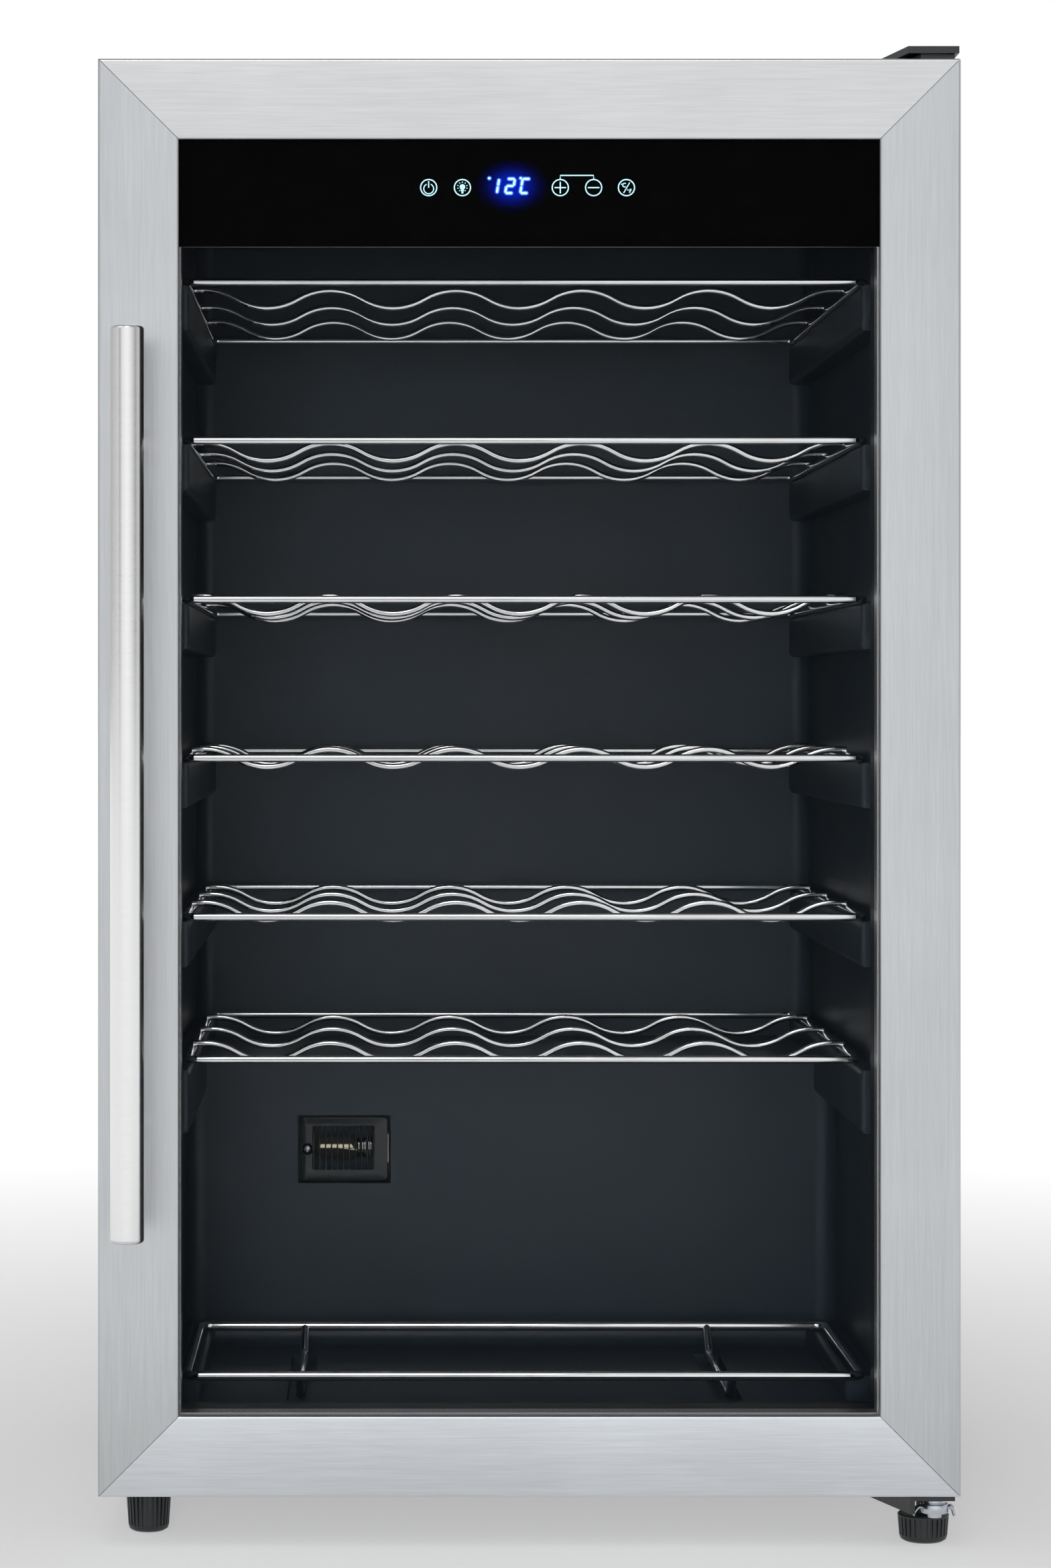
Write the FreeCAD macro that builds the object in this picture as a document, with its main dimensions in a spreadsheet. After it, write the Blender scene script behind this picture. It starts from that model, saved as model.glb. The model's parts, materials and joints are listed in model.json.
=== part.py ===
import FreeCAD, Part
import math
import os
import re

import Sketcher

# Free-standing compressor wine cooler. Millimetres, +Z up, the door faces -Y.
# Every "depth" is counted from the door's front face into the cabinet, and every height from a
# datum a little above the floor, which the feet reach down to.

SIZES = [
    ("front_y", -223.5, "y of the door's front face"),
    ("datum", 2.6, "z that the heights are counted from"),
    ("half_width", 240, "half the cabinet's and the door's width"),
    ("sheet", 1, "steel sheet"),
    ("plastic", 2, "moulded wall"),
    ("gap", 0.3, "play between moving faces"),
    # door
    ("door_low", 29, "door's lower edge"),
    ("door_high", 829, "door's upper edge"),
    ("rail", 45, "width of stiles and rails"),
    ("seam", 0.12, "half the mitre's open seam"),
    ("trim_depth", 38, "depth of the door's steel sides"),
    ("door_depth", 42, "depth of the door without its gasket"),
    ("lip", 3, "folded inner lip, which holds the glass"),
    ("pane", 4, "glass thickness"),
    ("pane_gap", 12, "space between the panes"),
    ("glass_half", 207, "half the glass width"),
    ("glass_tuck", 12, "glass hidden behind each rail"),
    ("inner_glass_high", 733, "top of the inner pane"),
    ("spacer_show", 0.8, "spacer seen inside the window"),
    ("gasket_half", 226, "half the gasket's outer width"),
    ("gasket_width", 18, "width of the gasket's lip"),
    # handle
    ("handle_x", -221, "handle's place across"),
    ("handle_reach", 41.5, "handle's axis in front of the door"),
    ("handle_radius", 9.25, "handle tube"),
    ("handle_low", 176.2, "handle's lower end"),
    ("handle_length", 500, "handle's length"),
    ("post_inset", 60, "post from the handle's end"),
    ("post_radius", 6, "handle post"),
    ("screw_radius", 2.5, "M5 shank"),
    ("screw_head", 4.5, "M5 head"),
    # hinge
    ("hinge_x", 228, "hinge axis across"),
    ("hinge_depth", 20, "hinge axis behind the door face"),
    ("pin_radius", 4, "hinge pin"),
    ("pin_play", 0.05, "radial clearance of pins and studs"),
    ("bush_radius", 6.5, "hinge bush"),
    ("bush_length", 14, "hinge bush"),
    ("plate", 3, "hinge plate"),
    ("skirt_low", 17.7, "lower edge of the lower hinge plate's skirt"),
    ("nut_low", 16.4, "underside of the wing nut's barrel"),
    ("nut_shoulder", 22, "wing nut's barrel meets its collar"),
    ("nut_high", 24.5, "top of the wing nut's collar"),
    ("nut_radius", 7.9, "wing nut's barrel"),
    ("wing_low", 14, "lower edge of the wings"),
    ("wing_high", 21, "upper edge of the wings"),
    ("cover_high", 836.8, "top of the hinge cover"),
    ("cover_lift", 2.9, "hinge cover's front edge over the cabinet's top"),
    ("low_head", 1.3, "height of flat screw and pin heads"),
    # cabinet
    ("cabinet_depth", 55, "depth of the cabinet's front face"),
    ("back_depth", 470, "depth of the cabinet's back"),
    ("cabinet_low", 28, "cabinet's underside"),
    ("cabinet_high", 830, "cabinet's top"),
    ("flange", 12, "wrapper's front return"),
    ("room_half", 205, "half the inner width"),
    ("room_low", 66, "inner floor"),
    ("room_high", 795, "inner ceiling"),
    ("room_depth", 440, "upper back wall"),
    ("step_depth", 296, "lower back wall, in front of the compressor"),
    ("step_high", 248, "top of the step over the compressor"),
    ("corner", 12, "liner's rounded corners"),
    ("bay_depth", 333, "front of the compressor bay"),
    ("bay_high", 222, "ceiling of the compressor bay"),
    # shelves
    ("rod_radius", 2.25, "shelf frame wire"),
    ("wave_radius", 1.9, "wave wire"),
    ("rack_half", 194.45, "half the shelf frame's width on the wire's axis"),
    ("rack_bend", 5, "corner bend of the wire's axis"),
    ("rack_front", 66, "depth of a shelf's front rail"),
    ("rack_back", 427, "depth of a shelf's rear rail"),
    ("low_rack_front", 102, "depth of the lowest shelf's front rail"),
    ("top_rack", 712, "height of the top shelf's rail"),
    ("rack_pitch", 91, "from shelf to shelf"),
    ("low_rack", 263, "height of the lowest shelf's rail"),
    ("wave_pitch", 75, "bottle spacing"),
    ("wave_height", 10.4, "trough to crest"),
    ("wave_crest", 4, "crest above the rail's axis"),
    ("wave_first", 82, "first wave wire behind the front rail"),
    ("wave_second", 182, "second wave wire"),
    ("wave_third", 275, "third wave wire"),
    ("ledge_half", 192, "inner face of the shelf ledges"),
    ("ledge_high", 26, "height of a ledge"),
    ("ledge_round", 3, "rounded ledge edge"),
    # basket
    ("basket_wire", 2.75, "basket wire radius"),
    ("basket_high", 84, "height of the basket's rail"),
    ("basket_front", 72, "depth of the basket's front rail"),
    ("basket_back", 250, "depth of the basket's rear rail"),
    ("cradle_left", -129, "left cradle wire"),
    ("cradle_right", 120, "right cradle wire"),
    ("cradle_wire", 2.5, "cradle wire radius"),
    ("cradle_low", 69, "axis of the cradle wire over the floor"),
    ("runner_half", 186.5, "inner face of the floor runners"),
    ("runner_high", 80.9, "top of the floor runners"),
    # lamp
    ("lamp_x", -105, "lamp recess centre"),
    ("lamp_z", 188.5, "lamp recess centre"),
    ("lamp_wide", 58.7, "lamp recess"),
    ("lamp_tall", 43, "lamp recess"),
    ("lamp_deep", 26, "lamp recess"),
    ("rib_pitch", 3.76, "lamp cover ribs"),
    ("rib_half", 0.5, "half a rib's thickness"),
    ("cover_half", 27.2, "half the lamp cover's width"),
    ("cover_tall", 40, "height of the lamp cover"),
    ("cover_round", 2.5, "lamp cover's rounded corners"),
    ("lamp_screw_x", -128.5, "screw of the lamp cover"),
    ("bulb_radius", 8, "lamp bulb"),
    ("bulb_round", 5, "rounded end of the lamp bulb"),
    ("bulb_depth", 310, "axis of the lamp bulb"),
    # feet
    ("foot_x", -215.4, "front left foot"),
    ("foot_depth", 66, "front left foot"),
    ("right_foot_x", 224.3, "front right foot"),
    ("right_foot_depth", 38, "front right foot"),
    ("rear_foot_x", 205, "rear feet"),
    ("rear_foot_depth", 440, "rear feet"),
    # machine bay and condenser
    ("pump_x", 70, "compressor centre"),
    ("pump_depth", 402, "compressor centre"),
    ("pump_radius", 56, "compressor shell"),
    ("pump_low", 52, "underside of the compressor shell"),
    ("pump_high", 182, "top of the compressor shell"),
    ("pump_round", 26, "rounding of the compressor shell's ends"),
    ("pump_seam_drop", 50, "welded seam below the top of the shell"),
    ("mount_low", 48, "underside of the compressor's foot plate"),
    ("mount_high", 53, "top of the compressor's foot plate"),
    ("mount_half", 84, "foot plate's half width"),
    ("mount_reach", 46, "foot plate's half depth"),
    ("grommet_x", 74, "grommets from the compressor's centre, across"),
    ("grommet_depth", 36, "grommets from the compressor's centre, in depth"),
    ("terminal_low", 90, "underside of the terminal cover"),
    ("terminal_high", 142, "top of the terminal cover"),
    ("tray_low", 184, "underside of the drip tray"),
    ("tray_high", 204, "rim of the drip tray"),
    ("tray_half", 60, "drip tray's half width"),
    ("tray_reach", 42, "drip tray's half depth"),
    ("drain_depth", 347, "where the drain comes through the bay's ceiling"),
    ("drain_high", 219, "top of the drain tube"),
    ("drain_turn", 209, "level run of the drain tube"),
    ("drain_end", 196, "drain tube's outlet in the tray"),
    ("dryer_depth", 430, "filter drier's axis"),
    ("dryer_z", 150, "filter drier's axis"),
    ("gland_x", -200, "mains gland"),
    ("gland_z", 60, "mains gland"),
    ("coil_depth", 484, "condenser tube's axis"),
    ("coil_half", 185, "condenser tube's half span"),
    ("coil_radius", 2.4, "condenser tube"),
    ("coil_low", 262, "lowest condenser run"),
    ("coil_pitch", 56, "condenser run to run"),
    ("wire_radius", 0.8, "condenser wire"),
    ("rear_depth", 499, "rear face of the condenser guard feet"),
]

doc = FreeCAD.newDocument("wine_cooler")
sheet = doc.addObject("Spreadsheet::Sheet", "Sizes")
ALIASES = [alias for alias, _, _ in SIZES]
for row, (alias, value, note) in enumerate(SIZES, 1):
    sheet.set(f"A{row}", note)
    sheet.set(f"B{row}", str(value))
    sheet.setAlias(f"B{row}", alias)
doc.recompute()

SHELVES = 5          # full-depth shelves, above the lowest one
WAVES = 5            # bottles on a shelf
COIL_RUNS = 10
COIL_WIRES = 34
LAMP_RIBS = 11
FOOT_RIBS = 28
nodes = {}


def size(alias):
    """A driving dimension's value."""
    return float(sheet.get(alias))


def tied(text):
    """An expression with each alias named in the sheet."""
    def name(match):
        word = match.group(0)
        return f"Sizes.{word}" if word in ALIASES else word
    return re.sub(r"[a-z][a-z_]*", name, str(text))


def bind(obj, **sizes):
    for prop, text in sizes.items():
        obj.setExpression(prop, tied(text))


def place(obj, x, depth, z, turn=None):
    """Put an object's origin at x, depth and height, turned first."""
    if turn is not None:
        obj.Placement.Rotation = turn
    obj.setExpression("Placement.Base.x", tied(x))
    obj.setExpression("Placement.Base.y", tied(f"front_y + ({depth})"))
    obj.setExpression("Placement.Base.z", tied(f"{z} + datum"))
    return obj


def block(name, xs, depths, zs):
    """A box between two x values, two depths and two heights."""
    obj = doc.addObject("Part::Box", name)
    bind(obj, Length=f"({xs[1]}) - ({xs[0]})", Width=f"({depths[1]}) - ({depths[0]})",
         Height=f"({zs[1]}) - ({zs[0]})")
    return place(obj, xs[0], depths[0], zs[0])


def ring(name, half, depths, zs, wall, wall_low=None, wall_high=None):
    """A rectangular ring, seen from the front, of the given wall widths."""
    low = wall_low or wall
    high = wall_high or wall
    outside = block(f"{name}_outside", (f"-({half})", half), depths, zs)
    inner = f"({half}) - ({wall})"
    inside = block(f"{name}_inside", (f"-({inner})", inner),
                   (f"({depths[0]}) - 1", f"({depths[1]}) + 1"),
                   (f"({zs[0]}) + ({low})", f"({zs[1]}) - ({high})"))
    return cut(name, outside, inside)


TURNS = {"x": FreeCAD.Rotation(FreeCAD.Vector(0, 1, 0), 90),
         "y": FreeCAD.Rotation(FreeCAD.Vector(1, 0, 0), -90),
         "z": FreeCAD.Rotation()}


def rod(name, axis, radius, start, length):
    """A round bar from start (x, depth, z) along +x, +y or +z."""
    obj = doc.addObject("Part::Cylinder", name)
    bind(obj, Radius=radius, Height=length)
    return place(obj, *start, turn=TURNS[axis])


def cone(name, low_radius, high_radius, start, height):
    obj = doc.addObject("Part::Cone", name)
    bind(obj, Radius1=low_radius, Radius2=high_radius, Height=height)
    return place(obj, *start)


def bend(name, bend_radius, wire_radius, centre, sweep, turn):
    """A piece of bent wire: part of a torus round centre."""
    obj = doc.addObject("Part::Torus", name)
    bind(obj, Radius1=bend_radius, Radius2=wire_radius, Angle3=sweep)
    return place(obj, *centre, turn=turn)


def fuse(name, *parts):
    obj = doc.addObject("Part::MultiFuse", name)
    obj.Shapes = list(parts)
    return obj


def cut(name, base, *tools):
    obj = doc.addObject("Part::Cut", name)
    obj.Base = base
    obj.Tool = tools[0] if len(tools) == 1 else fuse(f"{name}_tools", *tools)
    return obj


def group(name, *parts):
    """Separate solids that are one node."""
    obj = doc.addObject("Part::Compound", name)
    obj.Links = list(parts)
    return obj


def copy(name, source, rise="0", shift="0", back="0"):
    """The same piece again, moved up, across or back."""
    obj = group(name, source)
    obj.setExpression("Placement.Base.x", tied(shift))
    obj.setExpression("Placement.Base.y", tied(back))
    obj.setExpression("Placement.Base.z", tied(rise))
    return obj


def soften(name, base, radius, wanted):
    """Round the edges whose direction and middle the test wants."""
    doc.recompute()
    edges = []
    for index, edge in enumerate(base.Shape.Edges, 1):
        middle = edge.valueAt((edge.FirstParameter + edge.LastParameter) / 2)
        if wanted(edge, middle):
            edges.append((index, size(radius), size(radius)))
    if not edges:
        raise ValueError(f"{name}: no edge to round")
    obj = doc.addObject("Part::Fillet", name)
    obj.Base = base
    obj.Edges = edges
    return obj


def along(edge, axis):
    """Whether a straight edge runs along an axis."""
    if not isinstance(edge.Curve, Part.Line):
        return False
    return abs(getattr(edge.Curve.Direction, axis)) > 0.999


def round_edge(edge, middle):
    """Whether an edge is a circle."""
    return isinstance(edge.Curve, Part.Circle)


def keep(node, obj):
    obj.Label = node
    nodes[node] = obj
    return obj


# PartDesign bodies

def body_on(name, x, depth, z):
    obj = doc.addObject("PartDesign::Body", name)
    return place(obj, x, depth, z)


def sketch_in(body, name, role, offset="0"):
    """A sketch on one of the body's own planes."""
    obj = body.newObject("Sketcher::SketchObject", name)
    plane = [feature for feature in body.Origin.OriginFeatures if feature.Role == role][0]
    obj.AttachmentSupport = (plane, "")
    obj.MapMode = "FlatFace"
    obj.setExpression("AttachmentOffset.Base.z", tied(offset))
    return obj


def outline(sketch, points):
    """A closed polygon whose corners are tied to the sheet."""
    count = len(points)
    turn = 2 * math.pi / count
    spots = [FreeCAD.Vector(math.cos(turn * i), math.sin(turn * i), 0) for i in range(count)]
    first = sketch.GeometryCount
    for i in range(count):
        sketch.addGeometry(Part.LineSegment(spots[i], spots[(i + 1) % count]))
    for i in range(count):
        following = first + (i + 1) % count
        sketch.addConstraint(Sketcher.Constraint("Coincident", first + i, 2, following, 1))
    for i, (across, up) in enumerate(points):
        for kind, text, start in (("DistanceX", across, spots[i].x), ("DistanceY", up, spots[i].y)):
            number = sketch.addConstraint(Sketcher.Constraint(kind, -1, 1, first + i, 1, start))
            sketch.setExpression(f"Constraints[{number}]", tied(text))


def circle(sketch, across, up, radius):
    """A circle tied to the sheet."""
    index = sketch.addGeometry(Part.Circle(FreeCAD.Vector(1, 1, 0), FreeCAD.Vector(0, 0, 1), 1))
    for kind, text in (("DistanceX", across), ("DistanceY", up)):
        number = sketch.addConstraint(Sketcher.Constraint(kind, -1, 1, index, 3, 1.0))
        sketch.setExpression(f"Constraints[{number}]", tied(text))
    number = sketch.addConstraint(Sketcher.Constraint("Radius", index, 1.0))
    sketch.setExpression(f"Constraints[{number}]", tied(radius))


def pad(body, sketch, length):
    obj = body.newObject("PartDesign::Pad", f"{sketch.Name}_pad")
    obj.Profile = sketch
    obj.setExpression("Length", tied(length))
    return obj


def pocket_through(body, sketch):
    """Cut right through the body, both ways."""
    obj = body.newObject("PartDesign::Pocket", f"{sketch.Name}_pocket")
    obj.Profile = sketch
    obj.Type = 1
    obj.Midplane = True
    return obj


def revolve(body, sketch):
    obj = body.newObject("PartDesign::Revolution", f"{sketch.Name}_turned")
    obj.Profile = sketch
    obj.ReferenceAxis = (sketch, ["V_Axis"])
    obj.Angle = 360
    return obj


def pattern_round(body, feature, count):
    """Repeat a feature about the body's Z axis."""
    axis = [item for item in body.Origin.OriginFeatures if item.Role == "Z_Axis"][0]
    obj = body.newObject("PartDesign::PolarPattern", f"{feature.Name}_round")
    obj.Originals = [feature]
    obj.Axis = (axis, [""])
    obj.Angle = 360
    obj.Occurrences = count
    body.Tip = obj
    return obj


def tube(name, radius, points, bend_radius):
    """A bent tube or lead: straight runs joined by tangent arcs."""
    corners = [FreeCAD.Vector(x, size("front_y") + depth, z + size("datum")) for x, depth, z in points]
    edges = []
    start = corners[0]
    for before, corner, after in zip(corners, corners[1:], corners[2:]):
        inward = (before - corner).normalize()
        outward = (after - corner).normalize()
        half = inward.getAngle(outward) / 2
        reach = bend_radius / math.tan(half)
        first = corner + inward * reach
        last = corner + outward * reach
        centre = corner + (inward + outward).normalize() * (bend_radius / math.sin(half))
        middle = centre + (corner - centre).normalize() * bend_radius
        edges.append(Part.LineSegment(start, first).toShape())
        edges.append(Part.Arc(first, middle, last).toShape())
        start = last
    edges.append(Part.LineSegment(start, corners[-1]).toShape())
    path = Part.Wire(edges)
    profile = Part.Wire(Part.makeCircle(radius, corners[0], corners[1] - corners[0]))
    obj = doc.addObject("Part::Feature", name)
    obj.Shape = path.makePipeShell([profile], True, False)
    expected = math.pi * radius ** 2 * path.Length
    if abs(obj.Shape.Volume / expected - 1) > 0.01:
        raise ValueError(f"{name}: volume {obj.Shape.Volume:.0f}, not {expected:.0f}")
    return obj


WINDOW_HALF = "half_width - rail"
WINDOW_ZS = ("door_low + rail", "door_high - rail")
GLASS_ZS = ("door_low + rail - glass_tuck", "door_high - rail + glass_tuck")
GLASS_BACK = "lip + 2 * pane + pane_gap"
POST_HEIGHTS = ("handle_low + post_inset", "handle_low + handle_length - post_inset")


def door_trims():
    """Four folded steel trims, mitred where they meet."""
    face = ring("trim_face", "half_width", ("0", "sheet"), ("door_low", "door_high"), "rail")
    side = ring("trim_side", "half_width", ("0", "trim_depth"), ("door_low", "door_high"), "sheet")
    fold = ring("trim_fold", f"{WINDOW_HALF} + sheet", ("0", "lip"),
                (f"{WINDOW_ZS[0]} - sheet", f"{WINDOW_ZS[1]} + sheet"), "sheet")
    bush_hole = rod("trim_bush_hole", "z", "bush_radius + gap",
                    ("hinge_x", "hinge_depth", "door_low - 1"), "door_high - door_low + 2")
    screw_holes = [rod(f"trim_screw_hole_{i}", "y", "screw_radius + pin_play * 2",
                       ("handle_x", "-1", z), "sheet + 2") for i, z in enumerate(POST_HEIGHTS)]
    folded = cut("trim_ring", fuse("trim_folds", face, side, fold), bush_hole, *screw_holes)
    corners = [("bottom", "-half_width", "door_low", "2 * half_width", 0),
               ("right", "half_width", "door_low", "door_high - door_low", -90),
               ("top", "half_width", "door_high", "2 * half_width", -180),
               ("left", "-half_width", "door_high", "door_high - door_low", -270)]
    for side_name, x, z, length, angle in corners:
        wedge = doc.addObject("Part::Wedge", f"mitre_{side_name}")
        wide = "rail + 1"
        bind(wedge, Xmin="seam", Xmax=f"{length} - seam", Ymin="0", Ymax=wide,
             X2min=f"{wide} + seam", X2max=f"{length} - ({wide}) - seam",
             Zmin="-(trim_depth + 1)", Zmax="1", Z2min="-(trim_depth + 1)", Z2max="1")
        upright = FreeCAD.Rotation(FreeCAD.Vector(1, 0, 0), 90)
        place(wedge, x, "0", z, FreeCAD.Rotation(FreeCAD.Vector(0, 1, 0), angle) * upright)
        trim = doc.addObject("Part::Common", f"trim_{side_name}")
        trim.Base = folded
        trim.Tool = wedge
        keep(f"door_trim_{side_name}", trim)


def door_core():
    """The plastic frame inside the trims, with the rebate for the glass."""
    solid = block("core_solid", ("sheet - half_width", "half_width - sheet"), ("sheet", "door_depth"),
                  ("door_low + sheet", "door_high - sheet"))
    window = block("core_window", (f"-({WINDOW_HALF})", WINDOW_HALF), ("0", "door_depth + 1"), WINDOW_ZS)
    rebate = block("core_rebate", ("-(glass_half + gap)", "glass_half + gap"), ("0", GLASS_BACK),
                   (f"{GLASS_ZS[0]} - gap", f"{GLASS_ZS[1]} + gap"))
    bores = [rod("core_bore_low", "z", "bush_radius + pin_play", ("hinge_x", "hinge_depth", "door_low"),
                 "bush_length"),
             rod("core_bore_high", "z", "bush_radius + pin_play",
                 ("hinge_x", "hinge_depth", "door_high - bush_length"), "bush_length")]
    for i, z in enumerate(POST_HEIGHTS):
        bores.append(rod(f"core_screw_{i}", "y", "screw_radius + pin_play * 2", ("handle_x", "0", z), "50"))
        bores.append(rod(f"core_sink_{i}", "y", "screw_head + gap", ("handle_x", "door_depth - 6", z), "7"))
    keep("door_inner_frame", cut("door_core", solid, window, rebate, *bores))


def door_glazing():
    across = ("-glass_half", "glass_half")
    keep("outer_glass", block("outer_glass", across, ("lip", "lip + pane"), GLASS_ZS))
    inner = ("lip + pane + pane_gap", GLASS_BACK)
    keep("inner_glass", block("inner_glass", across, inner, (GLASS_ZS[0], "inner_glass_high")))
    keep("glass_spacer", ring("glass_spacer", "glass_half - 3", ("lip + pane", "lip + pane + pane_gap"),
                              (f"{GLASS_ZS[0]} + 3", "inner_glass_high - 1"),
                              f"glass_half - 3 - ({WINDOW_HALF}) + spacer_show",
                              wall_low="glass_tuck - 3 + spacer_show", wall_high="6"))
    neck = ring("gasket_neck", "gasket_half - 4", ("door_depth", "door_depth + 5"),
                ("door_low + 21", "door_high - 21"), "gasket_width - 8")
    lips = ring("gasket_lips", "gasket_half", ("door_depth + 5", "cabinet_depth - gap"),
                ("door_low + 17", "door_high - 17"), "gasket_width")
    keep("door_gasket", fuse("door_gasket", neck, lips))


TOUCH_PLACES = (-55.9, -37.1, 17.5, 36.1, 54.4)
PANEL_Z = 758


def door_controls():
    """Touch controls behind the glass, in the space over the inner pane."""
    behind = "lip + pane"
    shell = block("housing_shell", ("-glass_half", "glass_half"), (f"{behind} + 0.4", GLASS_BACK),
                  ("inner_glass_high", GLASS_ZS[1]))
    hump = block("housing_hump", (f"-({WINDOW_HALF} - 1)", f"{WINDOW_HALF} - 1"),
                 (GLASS_BACK, "door_depth - 8"), ("inner_glass_high + 2", f"{WINDOW_ZS[1]} - 1"))
    hollow = block("housing_hollow", (f"-({WINDOW_HALF} - 4)", f"{WINDOW_HALF} - 4"),
                   (behind, "door_depth - 10"), ("inner_glass_high + 4", f"{WINDOW_ZS[1]} - 3"))
    keep("control_housing", cut("control_housing", fuse("housing_solid", shell, hump), hollow))
    board_depth = f"{behind} + 4.4"
    keep("display_board", block("display_board", ("-72", "72"), (board_depth, f"{board_depth} + 1.6"),
                                (f"{PANEL_Z} - 13", f"{PANEL_Z} + 13")))
    keep("digit_display", block("digit_display", ("-27", "6"), (f"{behind} + 0.6", board_depth),
                                (f"{PANEL_Z} - 8", f"{PANEL_Z} + 8")))
    pads = [rod(f"touch_pad_{i}", "y", "4.7", (f"{x}", f"{behind} + 0.6", f"{PANEL_Z}"), "3.8")
            for i, x in enumerate(TOUCH_PLACES)]
    keep("touch_pads", group("touch_pads", *pads))


def handle():
    bar = rod("handle_tube", "z", "handle_radius", ("handle_x", "-handle_reach", "handle_low"),
              "handle_length")
    seats = [rod(f"post_seat_{i}", "y", "post_radius + pin_play", ("handle_x", "2 - handle_reach", z),
                 "handle_reach") for i, z in enumerate(POST_HEIGHTS)]
    rounded = soften("handle_rounded", bar, "plastic", round_edge)
    keep("handle_bar", cut("handle_bar", rounded, *seats))
    posts, screws = [], []
    for i, z in enumerate(POST_HEIGHTS):
        post = rod(f"post_{i}", "y", "post_radius", ("handle_x", "2.2 - handle_reach", z),
                   "handle_reach - 2.2")
        hole = rod(f"post_hole_{i}", "y", "screw_radius + pin_play", ("handle_x", "-15", z), "16")
        posts.append(cut(f"post_drilled_{i}", post, hole))
        shank = rod(f"handle_shank_{i}", "y", "screw_radius", ("handle_x", "-14", z), "door_depth + 9")
        head = rod(f"handle_head_{i}", "y", "screw_head", ("handle_x", "door_depth - 6", z), "4")
        screws.append(fuse(f"handle_screw_{i}", shank, head))
    keep("handle_posts", group("handle_posts", *posts))
    keep("handle_screws", group("handle_screws", *screws))


# Plan outlines of the hinge parts, as x and depth.
UPPER_PLATE = [("206", "104"), ("206", "60"), ("219", "10"), ("238", "10"), ("238", "104")]
LOWER_PLATE = [("196", "118"), ("196", "58"), ("213", "9"), ("238", "9"), ("238", "118")]
COVER_PLAN = [("200", "108"), ("200", "58"), ("211.5", "6"), ("240", "6"), ("240", "108")]
PLATE_SCREWS = (74, 92)


def plan(points):
    """Plan outline points with their depths turned into y."""
    return [(x, f"front_y + ({depth})") for x, depth in points]


def hinge_screws(name, low, head_low, head_height):
    """Two screws through a hinge plate, with their heads at the given height."""
    screws = []
    for i, depth in enumerate(PLATE_SCREWS):
        shank = rod(f"{name}_shank_{i}", "z", "screw_radius", ("hinge_x - 8", str(depth), low),
                    "14 + plate")
        head = rod(f"{name}_head_{i}", "z", "screw_head", ("hinge_x - 8", str(depth), head_low),
                   head_height)
        screws.append(fuse(f"{name}_{i}", shank, head))
    return screws


def hinge_pin(name, low, length, head_low, head_height):
    shank = rod(f"{name}_shank", "z", "pin_radius", ("hinge_x", "hinge_depth", low), length)
    head = rod(f"{name}_head", "z", "pin_radius * 1.8", ("hinge_x", "hinge_depth", head_low), head_height)
    return fuse(name, shank, head)


def hinge_fittings():
    """Pins and screws of both hinge plates, and the bushes in the door's ends."""
    upper = hinge_pin("upper_pin", "door_high - bush_length + 1", "bush_length + plate",
                      "cabinet_high + plate", "low_head")
    lower = hinge_pin("lower_pin", "14", "door_low + bush_length - 15", "cabinet_low", "0.7")
    keep("hinge_pins", group("hinge_pins", upper, lower))
    screws = [*hinge_screws("upper_screw", "cabinet_high - 14", "cabinet_high + plate", "low_head"),
              *hinge_screws("lower_screw", "cabinet_low - plate", "cabinet_low - plate - 3", "3")]
    keep("hinge_screws", group("hinge_screws", *screws))
    bushes = []
    for name, z in (("upper_bush", "door_high - bush_length"), ("lower_bush", "door_low")):
        sleeve = rod(f"{name}_sleeve", "z", "bush_radius", ("hinge_x", "hinge_depth", z), "bush_length")
        bore = rod(f"{name}_bore", "z", "pin_radius + pin_play", ("hinge_x", "hinge_depth", f"{z} - 1"),
                   "bush_length + 2")
        bushes.append(cut(name, sleeve, bore))
    keep("hinge_bushes", group("hinge_bushes", *bushes))


def hinge_top():
    body = doc.addObject("PartDesign::Body", "top_hinge_plate")
    body.setExpression("Placement.Base.z", tied("cabinet_high + datum"))
    flat = sketch_in(body, "top_plate_plan", "XY_Plane")
    outline(flat, plan(UPPER_PLATE))
    pad(body, flat, "plate")
    holes = sketch_in(body, "top_plate_holes", "XY_Plane")
    circle(holes, "hinge_x", "front_y + hinge_depth", "pin_radius + pin_play")
    for depth in PLATE_SCREWS:
        circle(holes, "hinge_x - 8", f"front_y + {depth}", "screw_radius + pin_play * 2")
    pocket_through(body, holes)
    keep("top_hinge_plate", body)
    cover = doc.addObject("PartDesign::Body", "top_hinge_cover")
    cover.setExpression("Placement.Base.z", tied("cabinet_high + datum"))
    plan_sketch = sketch_in(cover, "cover_plan", "XY_Plane")
    outline(plan_sketch, plan(COVER_PLAN))
    pad(cover, plan_sketch, "cover_high - cabinet_high")
    inset = [("202", "106"), ("202", "58.3"), ("213.1", "8"), ("238", "8"), ("238", "106")]
    hollow = sketch_in(cover, "cover_hollow", "XY_Plane")
    outline(hollow, plan(inset))
    scoop = cover.newObject("PartDesign::Pocket", "cover_scoop")
    scoop.Profile = hollow
    scoop.Reversed = True
    scoop.setExpression("Length", tied("cover_high - cabinet_high - plastic"))
    front = sketch_in(cover, "cover_front_gap", "XY_Plane")
    outline(front, plan([("195", "54"), ("195", "1"), ("245", "1"), ("245", "54")]))
    lift = cover.newObject("PartDesign::Pocket", "cover_lift")
    lift.Profile = front
    lift.Reversed = True
    lift.setExpression("Length", tied("cover_lift"))
    keep("top_hinge_cover", cover)


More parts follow.
